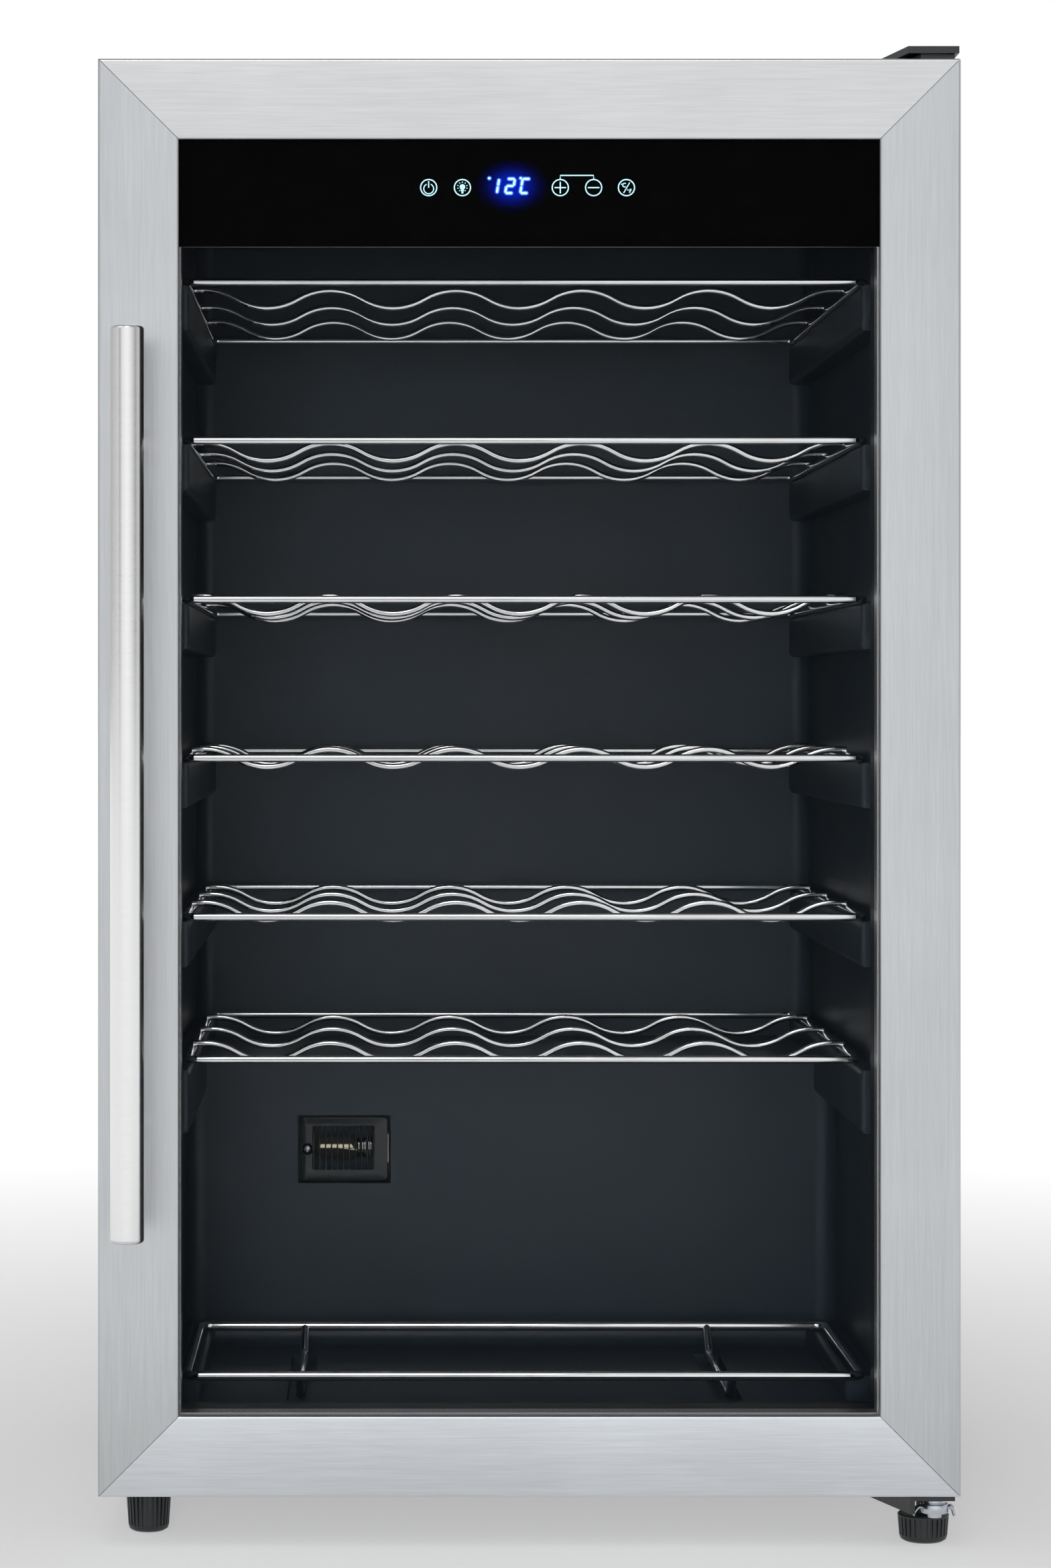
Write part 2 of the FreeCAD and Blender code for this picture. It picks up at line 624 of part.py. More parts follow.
def hinge_bottom():
    body = doc.addObject("PartDesign::Body", "lower_hinge_plate")
    body.setExpression("Placement.Base.z", tied("skirt_low + datum"))
    skirt = sketch_in(body, "skirt_plan", "XY_Plane")
    outline(skirt, plan([("196", "118"), ("196", "58"), ("213", "9"), ("215.6", "9"), ("198.6", "58.5"),
                         ("198.6", "118")]))
    pad(body, skirt, "cabinet_low - skirt_low")
    flat = sketch_in(body, "lower_plate_plan", "XY_Plane", "cabinet_low - skirt_low - plate")
    outline(flat, plan(LOWER_PLATE))
    pad(body, flat, "plate")
    holes = sketch_in(body, "lower_plate_holes", "XY_Plane")
    circle(holes, "hinge_x", "front_y + hinge_depth", "pin_radius + pin_play")
    circle(holes, "right_foot_x", "front_y + right_foot_depth", "pin_radius + pin_play")
    for depth in PLATE_SCREWS:
        circle(holes, "hinge_x - 8", f"front_y + {depth}", "screw_radius + pin_play * 2")
    pocket_through(body, holes)
    keep("lower_hinge_plate", body)
    barrel = rod("nut_barrel", "z", "nut_radius", ("hinge_x", "hinge_depth", "nut_low"),
                 "nut_shoulder - nut_low")
    collar = rod("nut_collar", "z", "nut_radius - 1.1", ("hinge_x", "hinge_depth", "nut_shoulder"),
                 "nut_high - nut_shoulder")
    wing_depths = ("hinge_depth - 1.5", "hinge_depth + 1.5")
    wing_zs = ("wing_low", "wing_high")
    left_wing = block("nut_left_wing", ("hinge_x - 12.6", "hinge_x - 6"), wing_depths, wing_zs)
    right_wing = block("nut_right_wing", ("hinge_x + 6", "hinge_x + 11.6"), wing_depths, wing_zs)
    bore = rod("nut_bore", "z", "pin_radius + pin_play", ("hinge_x", "hinge_depth", "wing_low - 4"), "20")
    nut = fuse("nut_solid", barrel, collar, left_wing, right_wing)
    keep("hinge_wing_nut", cut("hinge_wing_nut", nut, bore))


def foot(node, x, depth, height, top_radius, low_radius, stud_high):
    """A ribbed adjustable foot: a moulded pad on a steel stud."""
    body = body_on(f"{node}_pad", x, depth, "-datum")
    half = sketch_in(body, f"{node}_profile", "XZ_Plane")
    outline(half, [("0", "0"), (f"{low_radius} - 2.5", "0"), (f"{low_radius} - 0.6", "1.2"),
                   (low_radius, "3.2"), (top_radius, f"{height} - 0.8"), (f"{top_radius} - 0.8", height),
                   ("0", height)])
    revolve(body, half)
    groove = sketch_in(body, f"{node}_groove", "XY_Plane", "3.6")
    outline(groove, [(f"{low_radius} - 0.5", "-0.6"), (f"{top_radius} + 3", "-0.6"),
                     (f"{top_radius} + 3", "0.6"), (f"{low_radius} - 0.5", "0.6")])
    slot = body.newObject("PartDesign::Pocket", f"{node}_slot")
    slot.Profile = groove
    slot.Reversed = True
    slot.setExpression("Length", tied(f"{height} - 5.4"))
    pattern_round(body, slot, FOOT_RIBS)
    stud = rod(f"{node}_stud", "z", "pin_radius", (x, depth, f"{height} - 8 - datum"),
               f"{stud_high} + datum - ({height}) + 8")
    keep(node, fuse(node, body, stud))


def feet():
    foot("front_left_foot", "foot_x", "foot_depth", "25", "13", "11.6", "cabinet_low + 16")
    foot("front_right_foot", "right_foot_x", "right_foot_depth", "15.5", "14.4", "13.5",
         "cabinet_low - 0.3")
    pads = [cone(f"rear_foot_{i}", "12", "14", (x, "rear_foot_depth", "-datum"), "cabinet_low + datum")
            for i, x in enumerate(("-rear_foot_x", "rear_foot_x"))]
    keep("rear_feet", group("rear_feet", *pads))


def room(name, grow):
    """The inner room's shape, over its step, larger on every side by grow."""
    half = f"room_half + {grow}"
    tall = block(f"{name}_tall", (f"-({half})", half), ("cabinet_depth - 1", f"room_depth + {grow}"),
                 (f"room_low - {grow}", f"room_high + {grow}"))
    step = block(f"{name}_step", ("-room_half - 20", "room_half + 20"),
                 (f"step_depth + {grow}", "room_depth + 20"), ("room_low - 20", f"step_high - {grow}"))
    bare = cut(f"{name}_bare", tall, step)
    y_step = size("front_y") + size("step_depth") + float(grow)
    y_back = size("front_y") + size("room_depth") + float(grow)

    def corner_edge(edge, middle):
        back = min(abs(middle.y - y_step), abs(middle.y - y_back)) < 0.1
        upright = along(edge, "z")
        floor = along(edge, "x") and abs(middle.z - size("datum") - size("room_low") + float(grow)) < 0.1
        return back and (upright or floor)
    rounded = soften(f"{name}_rounded", bare, "corner", corner_edge)
    lamp = block(f"{name}_lamp", (f"lamp_x - lamp_wide / 2 - {grow}", f"lamp_x + lamp_wide / 2 + {grow}"),
                 ("step_depth - 1", f"step_depth + lamp_deep + {grow}"),
                 (f"lamp_z - lamp_tall / 2 - {grow}", f"lamp_z + lamp_tall / 2 + {grow}"))
    dips = [block(f"{name}_dip_{side}", (f"cradle_{side} - 8 - {grow}", f"cradle_{side} + 8 + {grow}"),
                  (f"94 - {grow}", f"253 + {grow}"), (f"room_low - 6 - {grow}", "room_low + 1"))
            for side in ("left", "right")]
    return fuse(f"{name}_room", rounded, lamp, *dips)


def rack_heights():
    return [f"top_rack - {i} * rack_pitch" for i in range(SHELVES)] + ["low_rack"]


def liner():
    """The moulded liner: one plastic shell with ledges and floor runners."""
    outside = room("liner_outside", "2")
    inside = room("liner_inside", "0")
    flange = ring("liner_flange", "half_width - flange", ("cabinet_depth", "cabinet_depth + plastic"),
                  ("cabinet_low + flange", "cabinet_high - flange"),
                  "half_width - flange - room_half", wall_low="room_low - cabinet_low - flange",
                  wall_high="cabinet_high - flange - room_high")
    front_cut = block("liner_front_cut", ("-300", "300"), ("cabinet_depth - 5", "cabinet_depth"),
                      ("0", "900"))
    ledges = []
    for i, height in enumerate(rack_heights()):
        top = f"{height} - rod_radius - gap"
        tall = "36" if i == SHELVES else "ledge_high"
        for side, sign in (("left", -1), ("right", 1)):
            low_x, high_x = ("ledge_half", "room_half + 1")
            if side == "left":
                low_x, high_x = ("-room_half - 1", "-ledge_half")
            raw = block(f"ledge_{side}_{i}_raw", (low_x, high_x), ("cabinet_depth + 6", "room_depth + 1"),
                        (f"{top} - {tall}", top))
            inner = size("ledge_half") * sign

            def inner_edge(edge, middle, inner=inner):
                return abs(middle.x - inner) < 0.1 and (along(edge, "y") or middle.y < size("front_y") + 70)
            ledges.append(soften(f"ledge_{side}_{i}", raw, "ledge_round", inner_edge))
    runners = []
    for side, (low_x, high_x) in (("left", ("-room_half - 1", "-runner_half")),
                                  ("right", ("runner_half", "room_half + 1"))):
        raw = block(f"runner_{side}_raw", (low_x, high_x), ("91", "step_depth + 1"),
                    ("room_low - 1", "runner_high"))
        inner = size("runner_half") * (1 if side == "right" else -1)

        def runner_edge(edge, middle, inner=inner):
            return abs(middle.x - inner) < 0.1 and (along(edge, "y") or along(edge, "z")) and (
                middle.z > size("room_low") + size("datum")) and middle.y < size("front_y") + 200
        round_runner = soften(f"runner_{side}_round", raw, "ledge_round", runner_edge)
        dish_xs = ("190", "200") if side == "right" else ("-200", "-190")
        dish = block(f"runner_{side}_dish", dish_xs, ("102", "284"),
                     ("runner_high - 3", "runner_high + 1"))
        runners.append(cut(f"runner_{side}", round_runner, dish))
    shell = fuse("liner_shell", cut("liner_walls", outside, inside), flange)
    trimmed = cut("liner_trimmed", shell, front_cut, block(
        "liner_mouth", ("-room_half", "room_half"), ("cabinet_depth - 5", "cabinet_depth + 8"),
        ("room_low", "room_high")))
    ribs = fuse("liner_ribs", *ledges, *runners)
    within = doc.addObject("Part::Common", "liner_ribs_within")
    within.Base = ribs
    within.Tool = outside
    keep("inner_liner", fuse("inner_liner", trimmed, within))


PLATE_BOX = (("-170", "170"), ("room_depth + plastic", "room_depth + plastic + 1.5"), ("330", "740"))


def cabinet():
    """Steel wrapper, base, back and bay lining, and the foam between."""
    side_depths = ("cabinet_depth", "back_depth")
    heights = ("cabinet_low", "cabinet_high")
    left = block("wrap_left", ("-half_width", "sheet - half_width"), side_depths, heights)
    right = block("wrap_right", ("half_width - sheet", "half_width"), side_depths, heights)
    top = block("wrap_top", ("-half_width", "half_width"), side_depths,
                ("cabinet_high - sheet", heights[1]))
    returns = ring("wrap_returns", "half_width", ("cabinet_depth", "cabinet_depth + sheet"), heights,
                   "flange")
    drills = [rod(f"wrap_drill_{i}", "z", "screw_radius + pin_play * 2",
                  ("hinge_x - 8", str(depth), "cabinet_high - 20"), "30")
              for i, depth in enumerate(PLATE_SCREWS)]
    keep("outer_wrapper", cut("outer_wrapper", fuse("wrap_folds", left, right, top, returns), *drills))
    inside = ("sheet - half_width", "half_width - sheet")
    low_drills = [rod(f"base_drill_{i}", "z", "screw_radius + pin_play * 2",
                      ("hinge_x - 8", str(depth), "cabinet_low - 5"), "26")
                  for i, depth in enumerate(PLATE_SCREWS)]
    stud_hole = rod("base_stud_hole", "z", "pin_radius + pin_play",
                    ("foot_x", "foot_depth", "cabinet_low - 5"), "12")
    base = block("base_flat", inside, ("cabinet_depth + sheet", "bay_depth"),
                 ("cabinet_low", "cabinet_low + 2"))
    keep("base_pan", cut("base_pan", base, stud_hole, *low_drills))
    upright = block("bay_upright", inside, ("bay_depth", "bay_depth + sheet"),
                    ("cabinet_low + 2", "bay_high"))
    ceiling = block("bay_ceiling", inside, ("bay_depth", "back_depth"), ("bay_high - sheet", "bay_high"))
    keep("bay_lining", fuse("bay_lining", upright, ceiling))
    keep("machine_plate", block("machine_plate", inside, ("bay_depth", "back_depth"),
                                ("cabinet_low", "cabinet_low + 2")))
    keep("back_panel", block("back_panel", inside, ("back_depth - sheet", "back_depth"),
                             ("bay_high", "cabinet_high - sheet")))
    foam = block("foam_block", inside, ("cabinet_depth + plastic", "back_depth - sheet"),
                 ("cabinet_low + 2", "cabinet_high - sheet"))
    bay = block("foam_bay", ("-300", "300"), ("bay_depth", "back_depth + 5"), ("0", "bay_high"))
    plate_room = block("foam_plate", *PLATE_BOX)
    stud_room = rod("foam_stud", "z", "6", ("foot_x", "foot_depth", "cabinet_low"), "20")
    screws = [rod(f"foam_screw_{i}", "z", "screw_radius + gap",
                  ("hinge_x - 8", str(depth), "cabinet_low"), "900") for i, depth in enumerate(PLATE_SCREWS)]
    keep("insulation_foam", cut("insulation_foam", foam, bay, plate_room, stud_room,
                                room("foam_liner", "2"), *screws))
    keep("evaporator_plate", block("evaporator_plate", *PLATE_BOX))


def wire_frame(name, half, front, back, height, radius, bend_radius):
    """A closed rectangular loop of wire, bent at its four corners."""
    turns = [FreeCAD.Rotation(FreeCAD.Vector(0, 0, 1), angle) for angle in (0, 90, 180, 270)]
    xs = (f"{half} - {bend_radius}", f"{bend_radius} - {half}")
    depths = (f"{front} + {bend_radius}", f"{back} - {bend_radius}")
    length = f"2 * ({xs[0]})"
    reach = f"({depths[1]}) - ({depths[0]})"
    return [rod(f"{name}_front", "x", radius, (xs[1], front, height), length),
            rod(f"{name}_rear", "x", radius, (xs[1], back, height), length),
            rod(f"{name}_left", "y", radius, (f"-{half}", depths[0], height), reach),
            rod(f"{name}_right", "y", radius, (half, depths[0], height), reach),
            bend(f"{name}_bend_0", bend_radius, radius, (xs[0], depths[1], height), "90", turns[0]),
            bend(f"{name}_bend_1", bend_radius, radius, (xs[1], depths[1], height), "90", turns[1]),
            bend(f"{name}_bend_2", bend_radius, radius, (xs[1], depths[0], height), "90", turns[2]),
            bend(f"{name}_bend_3", bend_radius, radius, (xs[0], depths[0], height), "90", turns[3])]


def wave_wire(name, depth, height):
    """A wire waved from side to side in equal tangent arcs, one trough a bottle."""
    arc_radius = "(wave_pitch^2 / 16 + wave_height^2 / 4) / wave_height"
    sweep = "4 * atan(2 * wave_height / wave_pitch)"
    half = 2 * math.degrees(math.atan(2 * size("wave_height") / size("wave_pitch")))
    upright = FreeCAD.Rotation(FreeCAD.Vector(1, 0, 0), 90)
    crest = f"{height} + wave_crest"
    pieces = []
    last = 2 * WAVES
    for i in range(last + 1):
        is_trough = i % 2 == 1
        x = f"({i - WAVES}) * wave_pitch / 2"
        middle = 270 if is_trough else 90
        centre_z = f"{crest} - wave_height + {arc_radius}" if is_trough else f"{crest} - ({arc_radius})"
        start = middle if i == last else middle - half
        swept = f"{sweep} / 2" if i in (0, last) else sweep
        turn = upright * FreeCAD.Rotation(FreeCAD.Vector(0, 0, 1), start)
        pieces.append(bend(f"{name}_{i}", arc_radius, "wave_radius", (x, depth, centre_z), swept, turn))
    flat = f"rack_half - {WAVES} * wave_pitch / 2"
    pieces.append(rod(f"{name}_flat_left", "x", "wave_radius", ("-rack_half", depth, crest), flat))
    pieces.append(rod(f"{name}_flat_right", "x", "wave_radius",
                      (f"{WAVES} * wave_pitch / 2", depth, crest), flat))
    return fuse(name, *pieces)


def shelf(name, front, waves, height):
    frame = wire_frame(name, "rack_half", front, "rack_back", height, "rod_radius", "rack_bend")
    first = wave_wire(f"{name}_wave_0", f"{front} + {waves[0]}", height)
    others = [copy(f"{name}_wave_{i}", first, back=f"({wave}) - ({waves[0]})")
              for i, wave in enumerate(waves[1:], 1)]
    return fuse(name, *frame, first, *others)


def racks():
    waves = ("wave_first", "wave_second", "wave_third")
    top = keep("shelf_1", shelf("shelf_one", "rack_front", waves, "top_rack"))
    for i in range(1, SHELVES):
        keep(f"shelf_{i + 1}", copy(f"shelf_copy_{i}", top, rise=f"-{i} * rack_pitch"))
    low_waves = ("wave_first - 20", "wave_second - 20", "wave_third - 20")
    keep(f"shelf_{SHELVES + 1}", shelf("shelf_low", "low_rack_front", low_waves, "low_rack"))


def basket():
    frame = wire_frame("basket", "(rack_half - 0.5)", "basket_front", "basket_back", "basket_high",
                       "basket_wire", "7")
    front, back = size("basket_front"), size("basket_back")
    high, low = size("basket_high"), size("cradle_low")
    cradles = [tube(f"cradle_{side}", size("cradle_wire"),
                    [(size(f"cradle_{side}"), front, high), (size(f"cradle_{side}"), front + 21, low),
                     (size(f"cradle_{side}"), back - 21, low), (size(f"cradle_{side}"), back, high)], 12)
               for side in ("left", "right")]
    keep("bottom_basket", fuse("bottom_basket", *frame, *cradles))


def lamp():
    """Lamp cover with slots, its screw, the bulb and the lamp holder."""
    raw = block("lamp_plate", ("lamp_x - cover_half", "lamp_x + cover_half"),
                ("step_depth + 1", "step_depth + 3"),
                ("lamp_z - cover_tall / 2", "lamp_z + cover_tall / 2"))
    plate = soften("lamp_plate_round", raw, "cover_round", lambda edge, middle: along(edge, "y"))
    first_rib = (LAMP_RIBS - 1) / 2 + 0.16
    slots = []
    for i in range(LAMP_RIBS - 1):
        across = (f"lamp_x + ({i - first_rib}) * rib_pitch + rib_half",
                  f"lamp_x + ({i + 1 - first_rib}) * rib_pitch - rib_half")
        slots.append(block(f"lamp_slot_{i}", across, ("step_depth", "step_depth + 5"),
                           ("lamp_z - 13", "lamp_z + 12")))
    spot = ("lamp_screw_x", "step_depth", "lamp_z")
    sink = rod("lamp_screw_sink", "y", "3.8", spot, "1.8")
    hole = rod("lamp_screw_hole", "y", "1.6", spot, "5")
    keep("lamp_cover", cut("lamp_cover", plate, sink, hole, *slots))
    head = rod("lamp_screw_head", "y", "2.5", ("lamp_screw_x", "step_depth + 0.6", "lamp_z"), "1.2")
    shank = rod("lamp_screw_shank", "y", "1.5", spot, "12")
    keep("lamp_cover_screw", fuse("lamp_cover_screw", head, shank))
    glass = rod("bulb_glass", "x", "bulb_radius", ("lamp_x - 19", "bulb_depth", "lamp_z"), "28")
    dome = soften("bulb_dome", glass, "bulb_round",
                  lambda edge, middle: middle.x < size("lamp_x") and isinstance(edge.Curve, Part.Circle))
    cap = rod("bulb_cap", "x", "bulb_radius - 1.2", ("lamp_x + 8", "bulb_depth", "lamp_z"), "10")
    keep("lamp_bulb", fuse("lamp_bulb", dome, cap))
    keep("lamp_holder", block("lamp_holder", ("lamp_x + 18", "lamp_x + 28"),
                              ("step_depth + 5", "step_depth + 23"), ("lamp_z - 9", "lamp_z + 9")))


def machine_bay():
    """The sealed compressor on its rubber grommets, and the drip tray over it."""
    spot = ("pump_x", "pump_depth")
    pot = rod("pump_pot", "z", "pump_radius", (*spot, "pump_low"), "pump_high - pump_low")
    dome = soften("pump_dome", pot, "pump_round", round_edge)
    seam = rod("pump_seam", "z", "pump_radius + 2.5", (*spot, "pump_high - pump_seam_drop"), "4")
    plate = block("pump_plate", ("pump_x - mount_half", "pump_x + mount_half"),
                  ("pump_depth - mount_reach", "pump_depth + mount_reach"), ("mount_low", "mount_high"))
    corners = [(f"pump_x {sx} grommet_x", f"pump_depth {sy} grommet_depth") for sx in "-+" for sy in "-+"]
    holes = [rod(f"pump_hole_{i}", "z", "5", (*corner, "mount_low - 8"), "20")
             for i, corner in enumerate(corners)]
    keep("compressor_shell", fuse("compressor_shell", dome, seam, cut("pump_foot_plate", plate, *holes)))
    grommets, bolts = [], []
    for i, corner in enumerate(corners):
        rubber = cone(f"grommet_cone_{i}", "11", "9", (*corner, "cabinet_low + 2"),
                      "mount_low - cabinet_low - 2.2")
        bore = rod(f"grommet_bore_{i}", "z", "3.2", (*corner, "cabinet_low"), "30")
        grommets.append(cut(f"grommet_{i}", rubber, bore))
        shank = rod(f"pump_bolt_shank_{i}", "z", "3", (*corner, "cabinet_low + 2"), "25")
        head = rod(f"pump_bolt_head_{i}", "z", "6.5", (*corner, "mount_high"), "4")
        bolts.append(fuse(f"pump_bolt_{i}", shank, head))
    keep("compressor_grommets", group("compressor_grommets", *grommets))
    keep("compressor_bolts", group("compressor_bolts", *bolts))
    keep("terminal_cover", block("terminal_cover", ("pump_x - 92", "pump_x - 60"),
                                 ("pump_depth - 22", "pump_depth + 22"),
                                 ("terminal_low", "terminal_high")))
    tray = block("tray_solid", ("pump_x - tray_half", "pump_x + tray_half"),
                 ("pump_depth - tray_reach", "pump_depth + tray_reach"), ("tray_low", "tray_high"))
    well = block("tray_well", ("pump_x - tray_half + plastic", "pump_x + tray_half - plastic"),
                 ("pump_depth - tray_reach + plastic", "pump_depth + tray_reach - plastic"),
                 ("tray_low + plastic", "tray_high + 6"))
    keep("drip_tray", cut("drip_tray", tray, well))


def bay_pipes():
    """Drain, suction and discharge lines, and the drier with its capillary."""
    middle_x, middle_depth, reach = size("pump_x"), size("pump_depth"), size("pump_radius")
    drain_depth, drain_turn = size("drain_depth"), size("drain_turn")
    outlet_depth = drain_depth + 25
    drip = [(middle_x, drain_depth, size("drain_high")), (middle_x, drain_depth, drain_turn),
            (middle_x, outlet_depth, drain_turn), (middle_x, outlet_depth, size("drain_end"))]
    keep("drain_tube", tube("drain_tube", 4, drip, 6))
    riser = middle_x + 100
    suction_z = size("terminal_low") + 10
    suction = [(middle_x + reach, middle_depth, suction_z), (riser, middle_depth, suction_z),
               (riser, middle_depth, size("bay_high") - 7)]
    keep("suction_line", tube("suction_line", 3.2, suction, 16))
    out, end, low = size("coil_depth"), -size("coil_half"), size("coil_low")
    turn_x = -40
    level = size("pump_low") + 23
    discharge = [(middle_x - reach, middle_depth, level), (turn_x, middle_depth, level),
                 (turn_x, out, level), (end - 15, out, level), (end - 15, out, low), (end, out, low)]
    keep("discharge_line", tube("discharge_line", size("coil_radius"), discharge, 12))
    dryer = rod("dryer_body", "x", "9", ("-175", "dryer_depth", "dryer_z"), "90")
    capsule = soften("dryer_capsule", dryer, "ledge_round", round_edge)
    dryer_depth, dryer_z = size("dryer_depth"), size("dryer_z")
    fine_x = -66
    thread = [(-88, dryer_depth, dryer_z), (fine_x, dryer_depth, dryer_z),
              (fine_x, dryer_depth, dryer_z + 40), (fine_x, dryer_depth - 70, dryer_z + 40),
              (fine_x, dryer_depth - 70, size("bay_high") - 2)]
    keep("filter_drier", fuse("filter_drier", capsule, tube("capillary", 1, thread, 6)))


def bay_boxes():
    """The thermostat's box and the gland where the mains lead comes in."""
    keep("control_box", block("control_box", ("-222", "-150"), ("345", "420"), ("160", "212")))
    collar = rod("gland_collar", "y", "9", ("gland_x", "back_depth - 6", "gland_z"), "10")
    passage = rod("gland_passage", "y", "3.6", ("gland_x", "back_depth - 20", "gland_z"), "40")
    plate = block("gland_plate", ("gland_x - 25", "gland_x + 25"), ("back_depth - 8", "back_depth - 6"),
                  ("cabinet_low + 2", "gland_z + 26"))
    keep("mains_gland", cut("mains_gland", fuse("gland_solid", collar, plate), passage))


def condenser():
    """A wire-on-tube condenser held off the back by four clips."""
    runs = []
    half_pitch = size("coil_pitch") / 2
    upright = FreeCAD.Rotation(FreeCAD.Vector(1, 0, 0), 90)
    for i in range(COIL_RUNS):
        height = f"coil_low + {i} * coil_pitch"
        runs.append(rod(f"coil_run_{i}", "x", "coil_radius", ("-coil_half", "coil_depth", height),
                        "2 * coil_half"))
        if i + 1 < COIL_RUNS:
            right = i % 2 == 0
            angle = -90 if right else 90
            turn = upright * FreeCAD.Rotation(FreeCAD.Vector(0, 0, 1), angle)
            x = "coil_half" if right else "-coil_half"
            runs.append(bend(f"coil_turn_{i}", str(half_pitch), "coil_radius",
                             (x, "coil_depth", f"{height} + coil_pitch / 2"), "180", turn))
    keep("condenser_tube", fuse("condenser_tube", *runs))
    step = f"(2 * coil_half - 20) / {COIL_WIRES - 1}"
    behind = "coil_depth + coil_radius + wire_radius + 0.05"
    wires = [rod(f"coil_wire_{i}", "z", "wire_radius",
                 (f"10 - coil_half + {i} * {step}", behind, "coil_low - 14"),
                 f"{COIL_RUNS - 1} * coil_pitch + 28") for i in range(COIL_WIRES)]
    keep("condenser_wires", group("condenser_wires", *wires))
    clips = []
    for i, (x, run) in enumerate((x, run) for x in ("-150", "150") for run in (1, COIL_RUNS - 2)):
        z = f"coil_low + {run} * coil_pitch"
        clips.append(block(f"clip_post_{i}", (f"{x} - 4", f"{x} + 4"),
                           ("back_depth", "coil_depth - coil_radius - 0.05"), (f"{z} - 6", f"{z} + 6")))
    keep("condenser_clips", group("condenser_clips", *clips))
    bumpers = [rod(f"bumper_{i}", "y", "8", (x, "back_depth", z), "rear_depth - back_depth")
               for i, (x, z) in enumerate((x, z) for x in ("-215", "215") for z in ("250", "790"))]
    keep("rear_spacers", group("rear_spacers", *bumpers))


door_trims()
door_core()
door_glazing()
door_controls()
handle()
hinge_top()
hinge_bottom()
hinge_fittings()
feet()
liner()
cabinet()
racks()
basket()
lamp()
machine_bay()
bay_pipes()
bay_boxes()
condenser()
doc.recompute()

faults = [obj.Name for obj in doc.Objects if "Invalid" in obj.State or "Error" in obj.State]
if faults:
    raise ValueError(f"failed objects: {faults}")
for node, obj in nodes.items():
    if obj.Shape.isNull() or not obj.Shape.isValid():
        raise ValueError(f"{node}: bad shape")
os.makedirs("parts", exist_ok=True)
for node, obj in nodes.items():
    obj.Shape.exportStep(f"parts/{node}.step")
    print(f"{node}: {len(obj.Shape.Solids)} solids, {obj.Shape.Volume / 1000:.1f} cm3")
whole = Part.makeCompound([obj.Shape for obj in nodes.values()]).BoundBox
print(f"{len(nodes)} nodes, x {whole.XMin:.1f} {whole.XMax:.1f}, y {whole.YMin:.1f} {whole.YMax:.1f}, "
      f"z {whole.ZMin:.1f} {whole.ZMax:.1f}")
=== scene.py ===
import json
import math

import bmesh
import bpy
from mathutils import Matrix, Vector


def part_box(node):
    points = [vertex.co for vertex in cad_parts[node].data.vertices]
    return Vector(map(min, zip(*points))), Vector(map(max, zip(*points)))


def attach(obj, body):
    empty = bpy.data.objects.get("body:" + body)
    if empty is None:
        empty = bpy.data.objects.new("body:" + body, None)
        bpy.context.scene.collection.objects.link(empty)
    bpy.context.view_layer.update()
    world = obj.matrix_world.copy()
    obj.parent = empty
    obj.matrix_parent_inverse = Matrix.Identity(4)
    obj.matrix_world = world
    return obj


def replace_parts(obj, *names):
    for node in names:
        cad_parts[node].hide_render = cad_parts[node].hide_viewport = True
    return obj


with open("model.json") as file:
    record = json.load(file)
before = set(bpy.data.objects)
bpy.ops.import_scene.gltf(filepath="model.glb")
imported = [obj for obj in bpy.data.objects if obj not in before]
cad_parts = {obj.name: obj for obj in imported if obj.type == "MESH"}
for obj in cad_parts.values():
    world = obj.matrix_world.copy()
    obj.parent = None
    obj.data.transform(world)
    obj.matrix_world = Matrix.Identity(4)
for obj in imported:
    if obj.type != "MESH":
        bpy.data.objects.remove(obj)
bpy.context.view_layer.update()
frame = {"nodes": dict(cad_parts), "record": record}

MM = 0.001
door_low, door_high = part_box("door_inner_frame")
glass_low, glass_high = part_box("outer_glass")
SHEET = 1 * MM
DOOR_FACE = door_low.y - SHEET          # y of the door's front face
DOOR_HALF = door_high.x + SHEET         # half the door's width
DOOR_LOW = door_low.z - SHEET
DOOR_HIGH = door_high.z + SHEET
RAIL = 45 * MM                          # width of the door's stiles and rails


# Materials

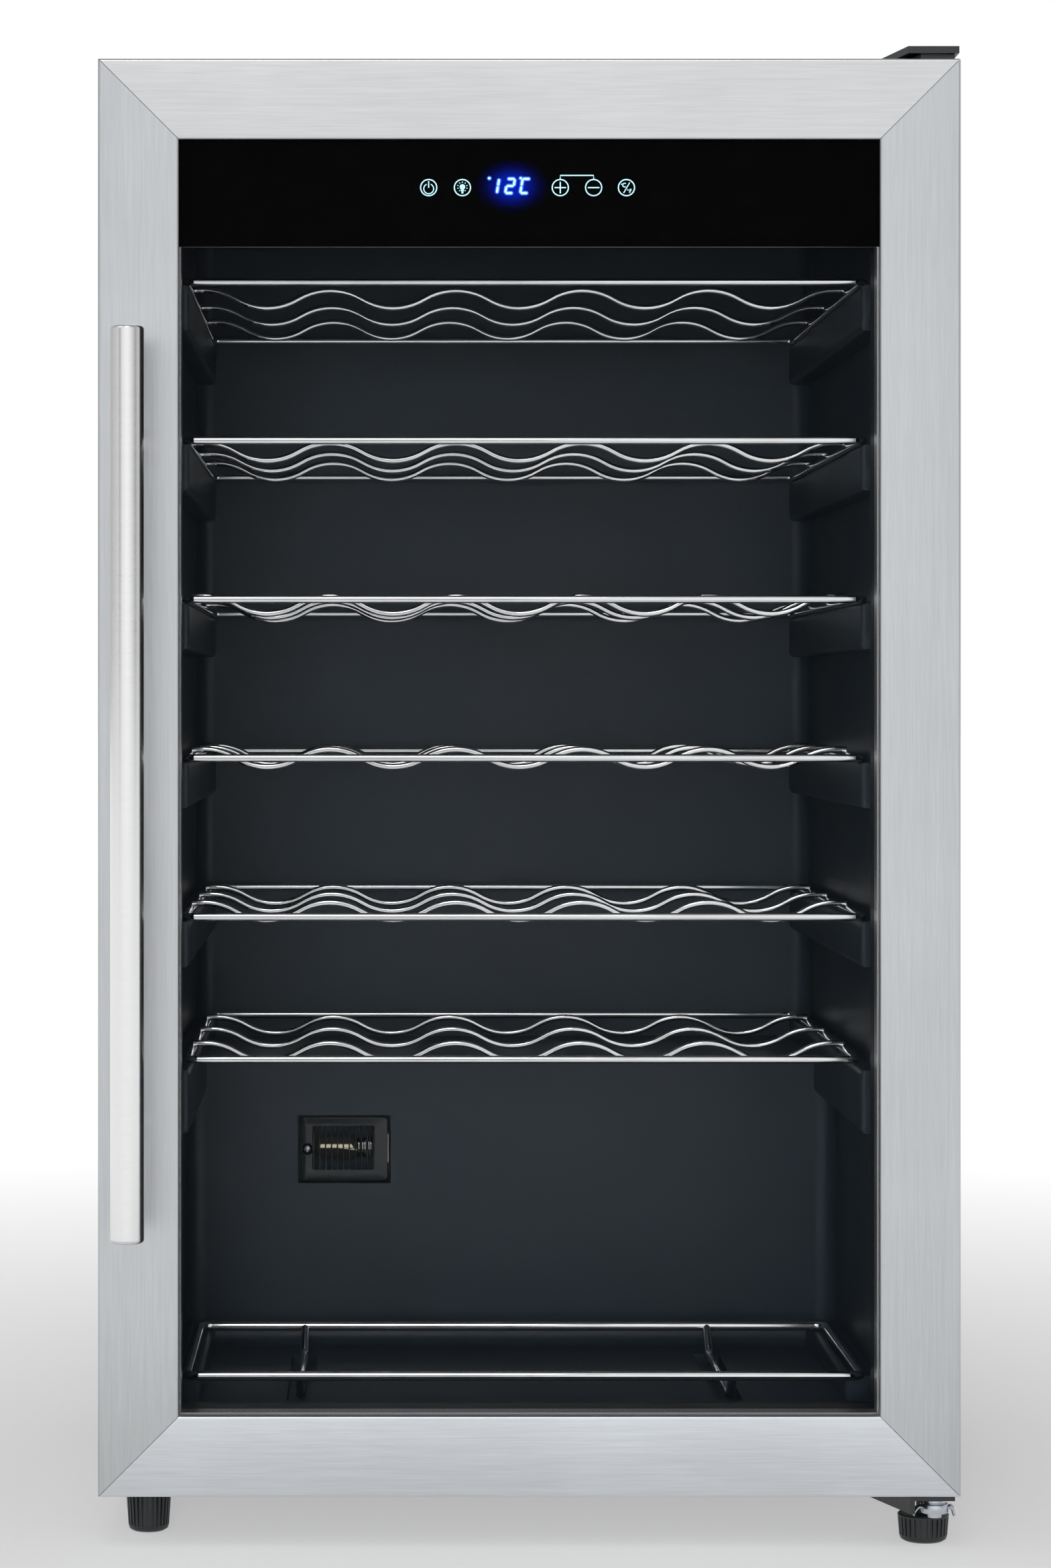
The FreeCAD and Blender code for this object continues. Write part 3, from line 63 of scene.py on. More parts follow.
class Paint:
    """A Principled material. Uniform values sit on its own sockets, patterns are added by the methods."""

    def __init__(self, name, colour, rough, metal=0.0, **sockets):
        self.mat = bpy.data.materials.new(name)
        self.mat.use_nodes = True
        self.nodes = self.mat.node_tree.nodes
        self.links = self.mat.node_tree.links
        self.shader = self.nodes["Principled BSDF"]
        self.set("Base Color", (*colour, 1))
        self.set("Roughness", rough)
        self.set("Metallic", metal)
        for socket, value in sockets.items():
            self.set(socket.replace("_", " ").title().replace("Ior", "IOR"), value)

    def set(self, socket, value):
        self.shader.inputs[socket].default_value = value

    def add(self, kind, **values):
        node = self.nodes.new(kind)
        for key, value in values.items():
            if key in node.inputs:
                node.inputs[key].default_value = value
            else:
                setattr(node, key, value)
        return node

    def join(self, source, target):
        self.links.new(source, target)

    def place(self, stretch=(1, 1, 1)):
        """Object coordinates, stretched along the axes."""
        where = self.add("ShaderNodeTexCoord")
        mapping = self.add("ShaderNodeMapping", Scale=stretch)
        self.join(where.outputs["Object"], mapping.inputs["Vector"])
        return mapping.outputs["Vector"]

    def noise(self, scale, stretch=(1, 1, 1), detail=4.0, rough=0.55):
        node = self.add("ShaderNodeTexNoise", Scale=scale, Detail=detail, Roughness=rough)
        self.join(self.place(stretch), node.inputs["Vector"])
        return node.outputs["Fac"]

    def blend(self, first, second, share):
        """A mean of two patterns, weighted towards the first."""
        return self.mix(self.mix(first, 1 - share, "MULTIPLY"), self.mix(second, share, "MULTIPLY"))

    def spread(self, value, low, high, start=0.3, end=0.7):
        """A 0 to 1 pattern spread between two values."""
        node = self.add("ShaderNodeMapRange")
        for socket, number in (("From Min", start), ("From Max", end), ("To Min", low), ("To Max", high)):
            node.inputs[socket].default_value = number
        self.join(value, node.inputs["Value"])
        return node.outputs["Result"]

    def tint(self, value, low, high, start=0.3, end=0.7):
        """Colour varies with a pattern between two colours."""
        ramp = self.add("ShaderNodeValToRGB")
        ramp.color_ramp.elements[0].position = start
        ramp.color_ramp.elements[0].color = (*low, 1)
        ramp.color_ramp.elements[1].position = end
        ramp.color_ramp.elements[1].color = (*high, 1)
        self.join(value, ramp.inputs["Fac"])
        self.join(ramp.outputs["Color"], self.shader.inputs["Base Color"])
        return self

    def gloss(self, value, low, high, start=0.3, end=0.7):
        self.join(self.spread(value, low, high, start, end), self.shader.inputs["Roughness"])
        return self

    def relief(self, value, depth, strength=1.0):
        node = self.add("ShaderNodeBump", Strength=strength, Distance=depth)
        self.join(value, node.inputs["Height"])
        self.join(node.outputs["Normal"], self.shader.inputs["Normal"])
        return self

    def mix(self, first, second, kind="ADD"):
        node = self.add("ShaderNodeMath", operation=kind)
        self.join(first, node.inputs[0])
        if isinstance(second, (int, float)):
            node.inputs[1].default_value = second
        else:
            self.join(second, node.inputs[1])
        return node.outputs[0]


def brushed(name, along, colour, rough=0.33, depth=0.00001, streak=0.13):
    """Brushed stainless steel: fine scratches along one axis, over a slow uneven sheen."""
    fine = [1500.0, 1500.0, 1500.0]
    fine["xyz".index(along)] = 30.0
    long = [380.0, 380.0, 380.0]
    long["xyz".index(along)] = 7.0
    paint = Paint(name, colour, rough, metal=1.0, anisotropic=0.5)
    hair = paint.noise(1.0, fine, detail=3, rough=0.6)
    band = paint.noise(1.0, long, detail=2)
    cloud = paint.noise(6.0, detail=4)
    both = paint.blend(hair, band, 0.32)
    sheen = paint.blend(both, cloud, 0.4)
    darker = [c * (1 - streak) for c in colour]
    lighter = [min(c * (1 + streak), 1) for c in colour]
    paint.tint(sheen, darker, lighter, 0.33, 0.67)
    paint.gloss(sheen, rough - 0.06, rough + 0.07)
    return paint.relief(hair, depth, 0.3)


def moulded(name, colour, rough, grain=900.0, depth=0.00003, **sockets):
    """Moulded plastic with a fine spark-eroded grain and faint flow marks."""
    paint = Paint(name, colour, rough, **sockets)
    grains = paint.noise(grain, detail=3)
    flow = paint.noise(5.0, detail=2)
    paint.tint(flow, [c * 0.86 for c in colour], [c * 1.14 for c in colour])
    paint.gloss(paint.blend(flow, grains, 0.5), rough - 0.07, rough + 0.08)
    return paint.relief(grains, depth, 0.3)


def coated(name, colour, rough, depth=0.0001):
    """Powder-coated steel: an orange-peel skin."""
    paint = Paint(name, colour, rough, coat_weight=0.15)
    peel = paint.noise(380.0, detail=2)
    cloud = paint.noise(4.0)
    paint.tint(cloud, [c * 0.85 for c in colour], [c * 1.2 for c in colour])
    paint.gloss(peel, rough - 0.06, rough + 0.08)
    return paint.relief(peel, depth, 0.35)


def plated(name, colour, rough, metal=1.0):
    """Bright plating with a slightly uneven polish."""
    paint = Paint(name, colour, rough, metal=metal)
    cloud = paint.noise(26.0, detail=4)
    fine = paint.noise(900.0, detail=2)
    paint.tint(cloud, [c * 0.92 for c in colour], [min(c * 1.05, 1) for c in colour])
    paint.gloss(cloud, max(rough - 0.04, 0.03), rough + 0.07)
    return paint.relief(fine, 0.00001, 0.25)


def rubbery(name, colour):
    """Dull rubber with a fine uneven skin."""
    paint = Paint(name, colour, 0.72)
    skin = paint.noise(700.0, detail=3)
    paint.tint(skin, [c * 0.8 for c in colour], [c * 1.3 for c in colour])
    return paint.relief(skin, 0.00008, 0.5)


def pane(name, colour, alpha):
    """Thin window glass: mostly clear, with a faint even film on it."""
    paint = Paint(name, colour, 0.03, ior=1.5, alpha=alpha, specular_ior_level=0.15)
    film = paint.noise(3.0, detail=3)
    paint.gloss(film, 0.015, 0.05)
    return paint


def spacer_bar(name):
    """Aluminium spacer with a row of small perforations for the drying agent inside."""
    paint = Paint(name, (0.62, 0.63, 0.65), 0.35, metal=1.0)
    where = paint.add("ShaderNodeTexCoord")
    parts = paint.add("ShaderNodeSeparateXYZ")
    paint.join(where.outputs["Object"], parts.inputs[0])
    run = paint.mix(parts.outputs["X"], parts.outputs["Z"])
    pitch = 3.2 * MM
    fract = paint.mix(paint.mix(run, 1 / pitch, "MULTIPLY"), 0.0, "FRACT")
    along = paint.mix(paint.mix(fract, -0.5), 0.0, "ABSOLUTE")
    middle = (glass_high.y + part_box("inner_glass")[0].y) / 2
    across = paint.mix(paint.mix(paint.mix(parts.outputs["Y"], -middle), 1 / pitch, "MULTIPLY"), 0.0, "ABSOLUTE")
    away = paint.mix(paint.mix(along, 2.0, "POWER"), paint.mix(across, 2.0, "POWER"))
    # The perforations are not cut: each hole is a near-black dot, painted shade for the inside of the hole.
    painted_hole_shade = paint.mix(away, 0.035, "GREATER_THAN")
    return paint.tint(painted_hole_shade, (0.03, 0.03, 0.03), (0.62, 0.63, 0.65), 0.4, 0.6)


def glowing(name, colour, strength):
    """A lit mark: emission over a dark base."""
    paint = Paint(name, (0.02, 0.02, 0.02), 0.4, emission_color=(*colour, 1), emission_strength=strength)
    flicker = paint.noise(1400.0, detail=1)
    paint.gloss(flicker, 0.3, 0.5)
    return paint


LINER_GREY = (0.0125, 0.0195, 0.027)
STEEL = (0.52, 0.535, 0.55)
PAINTS = {
    # The top and bottom trims are lighter copies of the side trims' steel: painted light, and on the bottom trim
    # a painted reflection of the pale floor in front of the door.
    "stainless_top": brushed("brushed_steel_top_painted_light", "x", (0.60, 0.605, 0.615)),
    "stainless_bottom": brushed("brushed_steel_bottom_painted_light", "x", (0.68, 0.71, 0.74)),
    "stainless_left": brushed("brushed_steel_left", "z", STEEL),
    "stainless_right": brushed("brushed_steel_right", "z", STEEL),
    "handle_steel": brushed("handle_steel", "x", (0.74, 0.74, 0.745), 0.17, 0.000004, 0.04),
    "black_steel": coated("black_powder_coat", (0.012, 0.012, 0.013), 0.42),
    "zinc": plated("zinc_plate", (0.56, 0.60, 0.65), 0.26),
    "steel_back": coated("dark_sheet", (0.030, 0.031, 0.033), 0.55),
    "liner": moulded("liner_plastic", LINER_GREY, 0.38, specular_ior_level=0.3),
    "foam": moulded("insulation_foam_skin", (0.72, 0.60, 0.32), 0.85, grain=160.0, depth=0.0006),
    "black_plastic": moulded("black_plastic", (0.010, 0.012, 0.014), 0.42),
    "door_plastic": moulded("door_plastic", (0.007, 0.008, 0.009), 0.5),
    "tinted_glass": pane("tinted_glass", (0.003, 0.004, 0.005), 0.045),
    "clear_glass": pane("clear_glass", (0.02, 0.025, 0.03), 0.02),
    "spacer_alu": spacer_bar("spacer_bar"),
    "gasket": rubbery("gasket_rubber", (0.018, 0.019, 0.021)),
    "chrome_wire": plated("chrome_wire", (0.90, 0.91, 0.93), 0.09),
    "board": moulded("circuit_board", (0.012, 0.07, 0.035), 0.4, grain=300.0),
    "display": moulded("display_block", (0.012, 0.014, 0.02), 0.3),
    "touch_pad": moulded("touch_foam", (0.05, 0.05, 0.055), 0.9),
    "lamp_glass": pane("lamp_glass", (0.10, 0.10, 0.09), 0.12),
    "lamp_plastic": moulded("lamp_holder_plastic", (0.30, 0.30, 0.28), 0.5),
    "alu_plate": plated("evaporator_aluminium", (0.68, 0.69, 0.70), 0.3),
    "compressor_black": coated("compressor_enamel", (0.010, 0.010, 0.011), 0.35),
    "rubber": rubbery("mount_rubber", (0.020, 0.020, 0.020)),
    "copper": plated("copper_pipe", (0.78, 0.36, 0.22), 0.28),
    "condenser_black": coated("condenser_enamel", (0.012, 0.012, 0.013), 0.45),
    "tray_plastic": moulded("tray_plastic", (0.60, 0.60, 0.57), 0.5),
}


def dress_cad():
    """Every CAD node gets the detailed material of its slot."""
    slots = {part["node"]: part["material_slot"] for part in frame["record"]["subparts"]}
    for node, obj in frame["nodes"].items():
        key = slots[node]
        if key == "stainless":
            key = node.replace("door_trim", "stainless")
        obj.data.materials.clear()
        obj.data.materials.append(PAINTS[key].mat)


# Mesh helpers

def piece(name, mesh, paint, body):
    """A visible piece that rides on a body."""
    obj = bpy.data.objects.new(name, mesh)
    bpy.context.scene.collection.objects.link(obj)
    mesh.materials.append(paint.mat)
    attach(obj, body)
    return obj


def settle(name, shape, paint, body, smooth=None):
    """Turn a bmesh into a piece, smooth up to an angle if one is given."""
    bmesh.ops.recalc_face_normals(shape, faces=shape.faces)
    mesh = bpy.data.meshes.new(name)
    if smooth is not None:
        for face in shape.faces:
            face.smooth = True
    shape.to_mesh(mesh)
    shape.free()
    if smooth is not None:
        mesh.set_sharp_from_angle(angle=math.radians(smooth))
    return piece(name, mesh, paint, body)


def loft(shape, loops, closed=False, capped=False):
    """Faces between loops of equally many points."""
    rows = [[shape.verts.new(point) for point in loop] for loop in loops]
    count = len(rows[0])
    pairs = list(zip(rows, rows[1:])) + ([(rows[-1], rows[0])] if closed else [])
    for near, far in pairs:
        for k in range(count):
            j = (k + 1) % count
            shape.faces.new((near[k], near[j], far[j], far[k]))
    if capped:
        shape.faces.new(rows[0][::-1])
        shape.faces.new(rows[-1])
    return rows


def rounded(low, high, radius, y, inset=0.0, steps=5):
    """A rounded rectangle's outline in the X-Z plane at depth y."""
    points = []
    radius = max(radius - inset, 0.05 * MM)
    corners = ((high[0], high[1], 0), (low[0], high[1], 90), (low[0], low[1], 180), (high[0], low[1], 270))
    for x, z, start in corners:
        way_x = -1 if start in (0, 270) else 1
        way_z = -1 if start in (0, 90) else 1
        centre = (x + way_x * (inset + radius), z + way_z * (inset + radius))
        for i in range(steps + 1):
            turn = math.radians(start + 90 * i / steps)
            points.append((centre[0] + radius * math.cos(turn), y, centre[1] + radius * math.sin(turn)))
    return points


def plate(name, low, high, paint, body, radius=0.5 * MM, bevel=0.02 * MM):
    """A thin upright plate with rounded corners and broken edges."""
    flat_low, flat_high = (low[0], low[2]), (high[0], high[2])
    shape = bmesh.new()
    loft(shape, [rounded(flat_low, flat_high, radius, high[1]),
                 rounded(flat_low, flat_high, radius, low[1] + bevel),
                 rounded(flat_low, flat_high, radius, low[1], bevel)], capped=True)
    return settle(name, shape, paint, body)


def lathe(shape, centre, axis, profile, steps=40):
    """Turn a profile of (radius, along) about an axis through centre."""
    bases = {"x": (Vector((0, 1, 0)), Vector((0, 0, 1)), Vector((1, 0, 0))),
             "y": (Vector((0, 0, 1)), Vector((1, 0, 0)), Vector((0, 1, 0))),
             "z": (Vector((1, 0, 0)), Vector((0, 1, 0)), Vector((0, 0, 1)))}
    first, second, line = bases[axis]
    loops = []
    for radius, run in profile:
        loops.append([Vector(centre) + line * run + (first * math.cos(turn) + second * math.sin(turn)) * radius
                      for turn in (2 * math.pi * i / steps for i in range(steps))])
    return loft(shape, loops, capped=True)


def sweep(shape, path, radius, steps=10):
    """A round bar along a path of points."""
    loops = []
    side = None
    for i, spot in enumerate(path):
        before, after = Vector(path[max(i - 1, 0)]), Vector(path[min(i + 1, len(path) - 1)])
        along = (after - before).normalized()
        if side is None:
            side = along.orthogonal().normalized()
        side = (side - along * side.dot(along)).normalized()
        other = along.cross(side)
        width = radius[i] if isinstance(radius, (list, tuple)) else radius
        loops.append([Vector(spot) + (side * math.cos(turn) + other * math.sin(turn)) * width
                      for turn in (2 * math.pi * k / steps for k in range(steps))])
    loft(shape, loops, capped=True)


def ribbon(shape, points, width, y, thick, closed=False):
    """A flat stroke of even width through points (x, z), standing at depth y."""
    count = len(points)
    rows = []
    for i, (x, z) in enumerate(points):
        before = Vector(points[i - 1]) if i > 0 or closed else Vector(points[i])
        after = Vector(points[(i + 1) % count]) if i + 1 < count or closed else Vector(points[i])
        along = (after - before).normalized()
        side = Vector((-along.y, along.x)) * width / 2
        row = []
        for sx, depth in ((1, y), (-1, y), (-1, y + thick), (1, y + thick)):
            row.append(shape.verts.new((x + side.x * sx, depth, z + side.y * sx)))
        rows.append(row)
    last = count if closed else count - 1
    for i in range(last):
        a, b = rows[i], rows[(i + 1) % count]
        for k in range(4):
            shape.faces.new((a[k], a[(k + 1) % 4], b[(k + 1) % 4], b[k]))
    if not closed:
        shape.faces.new(rows[0])
        shape.faces.new(rows[-1][::-1])


def arc(x, z, radius, start=0.0, end=360.0, steps=40):
    """Points (x, z) on an arc in degrees; a full circle's first point isn't repeated."""
    span = range(steps) if end - start >= 360 else range(steps + 1)
    turns = [math.radians(start + (end - start) * i / steps) for i in span]
    return [(x + radius * math.cos(turn), z + radius * math.sin(turn)) for turn in turns]


# Control panel

PANEL_Z = (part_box("display_board")[0].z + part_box("display_board")[1].z) / 2
PANEL_Y = glass_high.y - 0.12 * MM      # just inside the glass's back face
INK = 0.03 * MM
POWER_X, LIGHT_X, PLUS_X, MINUS_X, UNIT_X = (value * MM for value in (-55.9, -37.1, 17.5, 36.1, 54.4))
DISPLAY_X = -9.5 * MM
GLOW_LIFT = 0.9 * MM                    # the digits' middle over the touch marks'
RING = 4.5 * MM


def control_band():
    """The black print on the back of the glass, behind the controls."""
    edge, tall = 1 * MM, 71 * MM
    low = (glass_low.x + edge, PANEL_Y + INK, glass_high.z - tall)
    high = (glass_high.x - edge, PANEL_Y + 2 * INK, glass_high.z - edge)
    paint = Paint("black_print", (0.0006, 0.0006, 0.0008), 0.25, specular_ior_level=0.01)
    mottle = paint.noise(60.0)
    paint.tint(mottle, (0.0003, 0.0003, 0.0003), (0.0009, 0.0009, 0.0009))
    paint.gloss(mottle, 0.2, 0.3)
    plate("control_band", low, high, paint, "door")


def touch_marks():
    """Power, lamp, plus, minus and unit marks, as thin lit print."""
    shape = bmesh.new()
    z = PANEL_Z

    def line(x, points, width=0.66, closed=False):
        """A stroke in millimetres about an icon's centre."""
        spots = [(x + across * MM, z + up * MM) for across, up in points]
        ribbon(shape, spots, width * MM, PANEL_Y, INK, closed)

    def round_line(x, across, up, radius, start=0, end=360, width=0.66, steps=40):
        spots = arc(across, up, radius, start, end, steps)
        line(x, spots, width, closed=end - start >= 360)

    for x in (POWER_X, LIGHT_X, PLUS_X, MINUS_X, UNIT_X):
        round_line(x, 0, 0, RING / MM, steps=64)
    round_line(POWER_X, 0, -0.65, 2.75, 115, 425, 0.56)
    line(POWER_X, [(0, -0.1), (0, 3.55)], 0.66)
    round_line(LIGHT_X, 0, 0.4, 0.78, width=1.5, steps=24)
    line(LIGHT_X, [(0, 0.2), (0, -0.9)], 2.2)
    line(LIGHT_X, [(0, -0.7), (0, -1.9)], 1.6)
    line(LIGHT_X, [(0, -1.8), (0, -3.3)], 1.15)
    for degrees in (90, 54, 126, 17, 163, -17, 197, -54, 234):
        turn = math.radians(degrees)
        near, far = 2.3, 2.95
        line(LIGHT_X, [(near * math.cos(turn), 0.4 + near * math.sin(turn)),
                       (far * math.cos(turn), 0.4 + far * math.sin(turn))], 0.45)
    for x in (PLUS_X, MINUS_X):
        line(x, [(-3.2, 0), (3.2, 0)])
    line(PLUS_X, [(0, -3.2), (0, 3.2)])
    bracket = 6.8
    line(PLUS_X, [(0, RING / MM), (0, bracket), ((MINUS_X - PLUS_X) / MM, bracket),
                  ((MINUS_X - PLUS_X) / MM, RING / MM)], 0.65)
    line(UNIT_X, [(-1.58, -3.0), (1.85, 2.85)], 0.55)
    round_line(UNIT_X, -1.05, 1.38, 1.05, 50, 310, 0.55, 16)
    round_line(UNIT_X, -2.75, 1.9, 0.18, width=0.34, steps=10)
    line(UNIT_X, [(1.75, -2.9), (2.05, -0.95), (2.85, -0.95)], 0.6)
    line(UNIT_X, [(1.95, -1.75), (2.65, -1.75)], 0.5)
    round_line(UNIT_X, 0.8, -1.3, 0.2, width=0.38, steps=10)
    settle("touch_marks", shape, glowing("lit_mark", (0.50, 0.88, 1.0), 1.25), "door")


def seven_segments():
    """Centre lines of the lit bars of 1, 2 and C, leaning a little, and of the two dots."""
    half, wide, lean, trim = 3.95 * MM, 4.1 * MM, 0.165, 0.75 * MM
    ends = {"a": ((0, 1), (1, 1)), "b": ((1, 1), (1, 0)), "c": ((1, 0), (1, -1)), "d": ((0, -1), (1, -1)),
            "e": ((0, 0), (0, -1)), "f": ((0, 1), (0, 0)), "g": ((0, 0), (1, 0))}
    base = PANEL_Z + GLOW_LIFT
    lines = []
    for middle, lit in ((-19.3 * MM, "bc"), (-10.5 * MM, "abged"), (-2.1 * MM, "afed")):
        for bar in lit:
            points = []
            for (x, z), sign in zip(ends[bar], (1, -1)):
                flat = ends[bar][0][1] == ends[bar][1][1]
                across = (x - 0.5) * wide + (sign * trim if flat else 0)
                up = z * half - (0 if flat else sign * trim)
                points.append((middle + across + up * lean, base + up))
            lines.append(points)
    dot, dot_z = 0.1 * MM, PANEL_Z + 5.2 * MM
    for x in (-22.1 * MM, -4.5 * MM):
        lines.append([(x - dot, dot_z), (x + dot, dot_z)])
    return lines


def digits():
    """Lit bars with round ends, over a wider blue rim of painted glow: the bars' light spread on the print around
    them.
    """
    for name, width, y, paint in (
            ("digit_glow_rims", 2.5, PANEL_Y, glowing("blue_painted_glow", (0.0, 0.12, 1.0), 1.0)),
            ("lit_digits", 1.25, PANEL_Y - 2 * INK, glowing("lit_digit", (0.45, 0.86, 1.0), 1.5))):
        shape = bmesh.new()
        for (x0, z0), (x1, z1) in seven_segments():
            way = math.atan2(z1 - z0, x1 - x0)
            radius = width * MM / 2
            outline = []
            for x, z, start in ((x1, z1, -90), (x0, z0, 90)):
                outline += [(x + radius * math.cos(way + turn), z + radius * math.sin(way + turn))
                            for turn in (math.radians(start + 22.5 * i) for i in range(9))]
            loft(shape, [[(x, y + INK, z) for x, z in outline], [(x, y, z) for x, z in outline]], capped=True)
        settle(name, shape, paint, "door")


def display_glow():
    """The blue halo of the display on the black print."""
    wide, tall = 23 * MM, 17 * MM
    middle = PANEL_Z + GLOW_LIFT
    low = (DISPLAY_X - wide, PANEL_Y + INK * 0.4, middle - tall)
    high = (DISPLAY_X + wide, PANEL_Y + INK * 0.8, middle + tall)
    paint = Paint("display_halo", (0.0006, 0.0006, 0.0006), 0.3, emission_strength=1.0, specular_ior_level=0.01)
    where = paint.add("ShaderNodeTexCoord")
    mapping = paint.add("ShaderNodeMapping")
    mapping.inputs["Scale"].default_value = (1 / wide, 0, 1 / tall)
    mapping.inputs["Location"].default_value = (-DISPLAY_X / wide, 0, -middle / tall)
    paint.join(where.outputs["Object"], mapping.inputs["Vector"])
    length = paint.add("ShaderNodeVectorMath", operation="LENGTH")
    paint.join(mapping.outputs["Vector"], length.inputs[0])
    ramp = paint.add("ShaderNodeValToRGB")
    ramp.color_ramp.interpolation = "B_SPLINE"
    stops = ((0.0, (0, 0.014, 0.50)), (0.30, (0, 0.011, 0.38)), (0.55, (0, 0.0015, 0.065)),
             (0.75, (0, 0, 0.012)), (0.9, (0, 0, 0)), (1.0, (0, 0, 0)))
    points = ramp.color_ramp.elements
    points[1].position = 1.0
    for position, _ in stops[1:-1]:
        points.new(position)
    for point, (_, colour) in zip(points, stops):
        point.color = (*colour, 1)
    paint.join(length.outputs["Value"], ramp.inputs["Fac"])
    paint.join(ramp.outputs["Color"], paint.shader.inputs["Emission Color"])
    plate("display_glow", low, high, paint, "door")


# Door trims

def trim_profile():
    """The folded section: distance in from the door's edge, and depth. Rounded at both folds."""
    fold, steps = 1.6 * MM, 6
    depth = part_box("door_trim_left")[1].y - DOOR_FACE
    lip = 3 * MM
    turns = [math.radians(90 * i / steps) for i in range(steps + 1)]
    outer = [(0, depth)]
    outer += [(fold - fold * math.cos(turn), fold - fold * math.sin(turn)) for turn in turns]
    outer += [(RAIL - fold + fold * math.sin(turn), fold - fold * math.cos(turn)) for turn in turns]
    outer.append((RAIL, lip))
    inner_fold = fold - SHEET
    inner = [(RAIL - SHEET, lip)]
    inner += [(RAIL - fold + inner_fold * math.cos(turn), fold - inner_fold * math.sin(turn)) for turn in turns]
    inner += [(fold - inner_fold * math.sin(turn), fold - inner_fold * math.cos(turn)) for turn in turns]
    inner.append((SHEET, depth))
    return outer + inner


def door_trims():
    """Four folded trims, mitred with a fine open seam."""
    profile = trim_profile()
    seam = 0.2 * MM
    middle_z = (DOOR_LOW + DOOR_HIGH) / 2
    half_z = (DOOR_HIGH - DOOR_LOW) / 2
    sides = {"bottom": ((1, 0), (0, 1), DOOR_HALF, half_z),
             "top": ((-1, 0), (0, -1), DOOR_HALF, half_z),
             "left": ((0, -1), (1, 0), half_z, DOOR_HALF),
             "right": ((0, 1), (-1, 0), half_z, DOOR_HALF)}
    for side, (along, inward, half_length, reach) in sides.items():
        shape = bmesh.new()
        ends = []
        for sign in (-1, 1):
            row = []
            for inset, depth in profile:
                run = sign * (half_length - inset - seam)
                x = along[0] * run - inward[0] * (reach - inset)
                z = middle_z + along[1] * run - inward[1] * (reach - inset)
                row.append((x, DOOR_FACE + depth, z))
            ends.append(row)
        loft(shape, ends, capped=True)
        # Top and bottom trims take their lighter copies of the steel, which is painted light; the sides take the
        # plain steel.
        trim = settle(f"steel_trim_{side}", shape, PAINTS[f"stainless_{side}"], "door", 25)
        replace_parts(trim, f"door_trim_{side}")


# Lamp

LAMP_LOW, LAMP_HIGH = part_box("lamp_cover")
LAMP_X = (LAMP_LOW.x + LAMP_HIGH.x) / 2
LAMP_Z = (LAMP_LOW.z + LAMP_HIGH.z) / 2


def lamp_cover():
    """The moulded cover: a rounded plate with a sunk screw and ribs that curve back at the top."""
    paint = moulded("lamp_cover_plastic", (0.006, 0.008, 0.009), 0.2)
    low, high = (LAMP_LOW.x, LAMP_LOW.z), (LAMP_HIGH.x, LAMP_HIGH.z)
    ribs, pitch, first = 11, 3.76 * MM, LAMP_X - 19.4 * MM
    rib_low, rib_high, bend = LAMP_Z - 13.2 * MM, LAMP_Z + 9.5 * MM, 5 * MM
    beside, corner, inner_corner = 0.6 * MM, 2.5 * MM, 0.9 * MM
    open_low = (first - beside, LAMP_Z - 13 * MM)
    open_high = (first + (ribs - 1) * pitch + beside, LAMP_Z + 14.5 * MM)
    front, back = LAMP_LOW.y, LAMP_HIGH.y
    rib_y = front + 0.5 * MM
    shape = bmesh.new()
    loft(shape, [rounded(low, high, corner, back),
                 rounded(low, high, corner, front + 0.6 * MM),
                 rounded(low, high, corner, front + 0.15 * MM, 0.2 * MM),
                 rounded(low, high, corner, front, 0.7 * MM),
                 rounded(open_low, open_high, 1.2 * MM, front, -0.3 * MM),
                 rounded(open_low, open_high, inner_corner, front + 0.4 * MM),
                 rounded(open_low, open_high, inner_corner, back)], closed=True)
    for i in range(ribs):
        x = first + i * pitch
        path = [(x, rib_y, rib_low), (x, rib_y, rib_high)]
        for turn in (math.radians(15 * k) for k in range(1, 6)):
            path.append((x, rib_y + bend * (1 - math.cos(turn)), rib_high + bend * math.sin(turn)))
        sweep(shape, path, 0.5 * MM, 8)
    cover = settle("lamp_cover_moulding", shape, paint, "cabinet", 35)
    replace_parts(cover, "lamp_cover")
    screw_low, screw_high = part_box("lamp_cover_screw")
    spot = ((screw_low.x + screw_high.x) / 2, front, LAMP_Z)
    shape = bmesh.new()
    lathe(shape, spot, "y", [(4.0 * MM, 0), (4.0 * MM, -0.25 * MM), (3.7 * MM, -0.35 * MM), (3.2 * MM, 0.25 * MM),
                             (2.4 * MM, 0.25 * MM), (2.4 * MM, 0.3 * MM)])
    settle("lamp_screw_well", shape, moulded("screw_well_plastic", (0.006, 0.007, 0.008), 0.35),
           "cabinet", 40)
    screw_head("lamp_screw_cross", spot, 2.3 * MM, "lamp_cover_screw")


def screw_head(name, spot, radius, node):
    """A domed head with a cross recess, facing the front."""
    steps, arms = 48, 4
    shape = bmesh.new()
    loops = []
    for share in (1.0, 0.92, 0.75, 0.55, 0.40, 0.28, 0.14):
        loop = []
        for i in range(steps):
            turn = 2 * math.pi * i / steps
            rise = 1.1 * MM * math.sqrt(max(1 - (share * 0.97) ** 2, 0))
            off_arm = abs(((turn * arms / (2 * math.pi)) + 0.5) % 1 - 0.5) * 2 * math.pi / arms
            sunk = share < 0.62 and share * math.sin(off_arm) < 0.16
            y = spot[1] - rise + (0.9 * MM if sunk else 0)
            loop.append((spot[0] + share * radius * math.cos(turn), y, spot[2] + share * radius * math.sin(turn)))
        loops.append(loop)
    base = [(x, spot[1] + 0.3 * MM, z) for x, _, z in loops[0]]
    loft(shape, [base, *loops], capped=True)
    head = settle(name, shape, PAINTS["zinc"], "cabinet", 30)
    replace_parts(head, node)


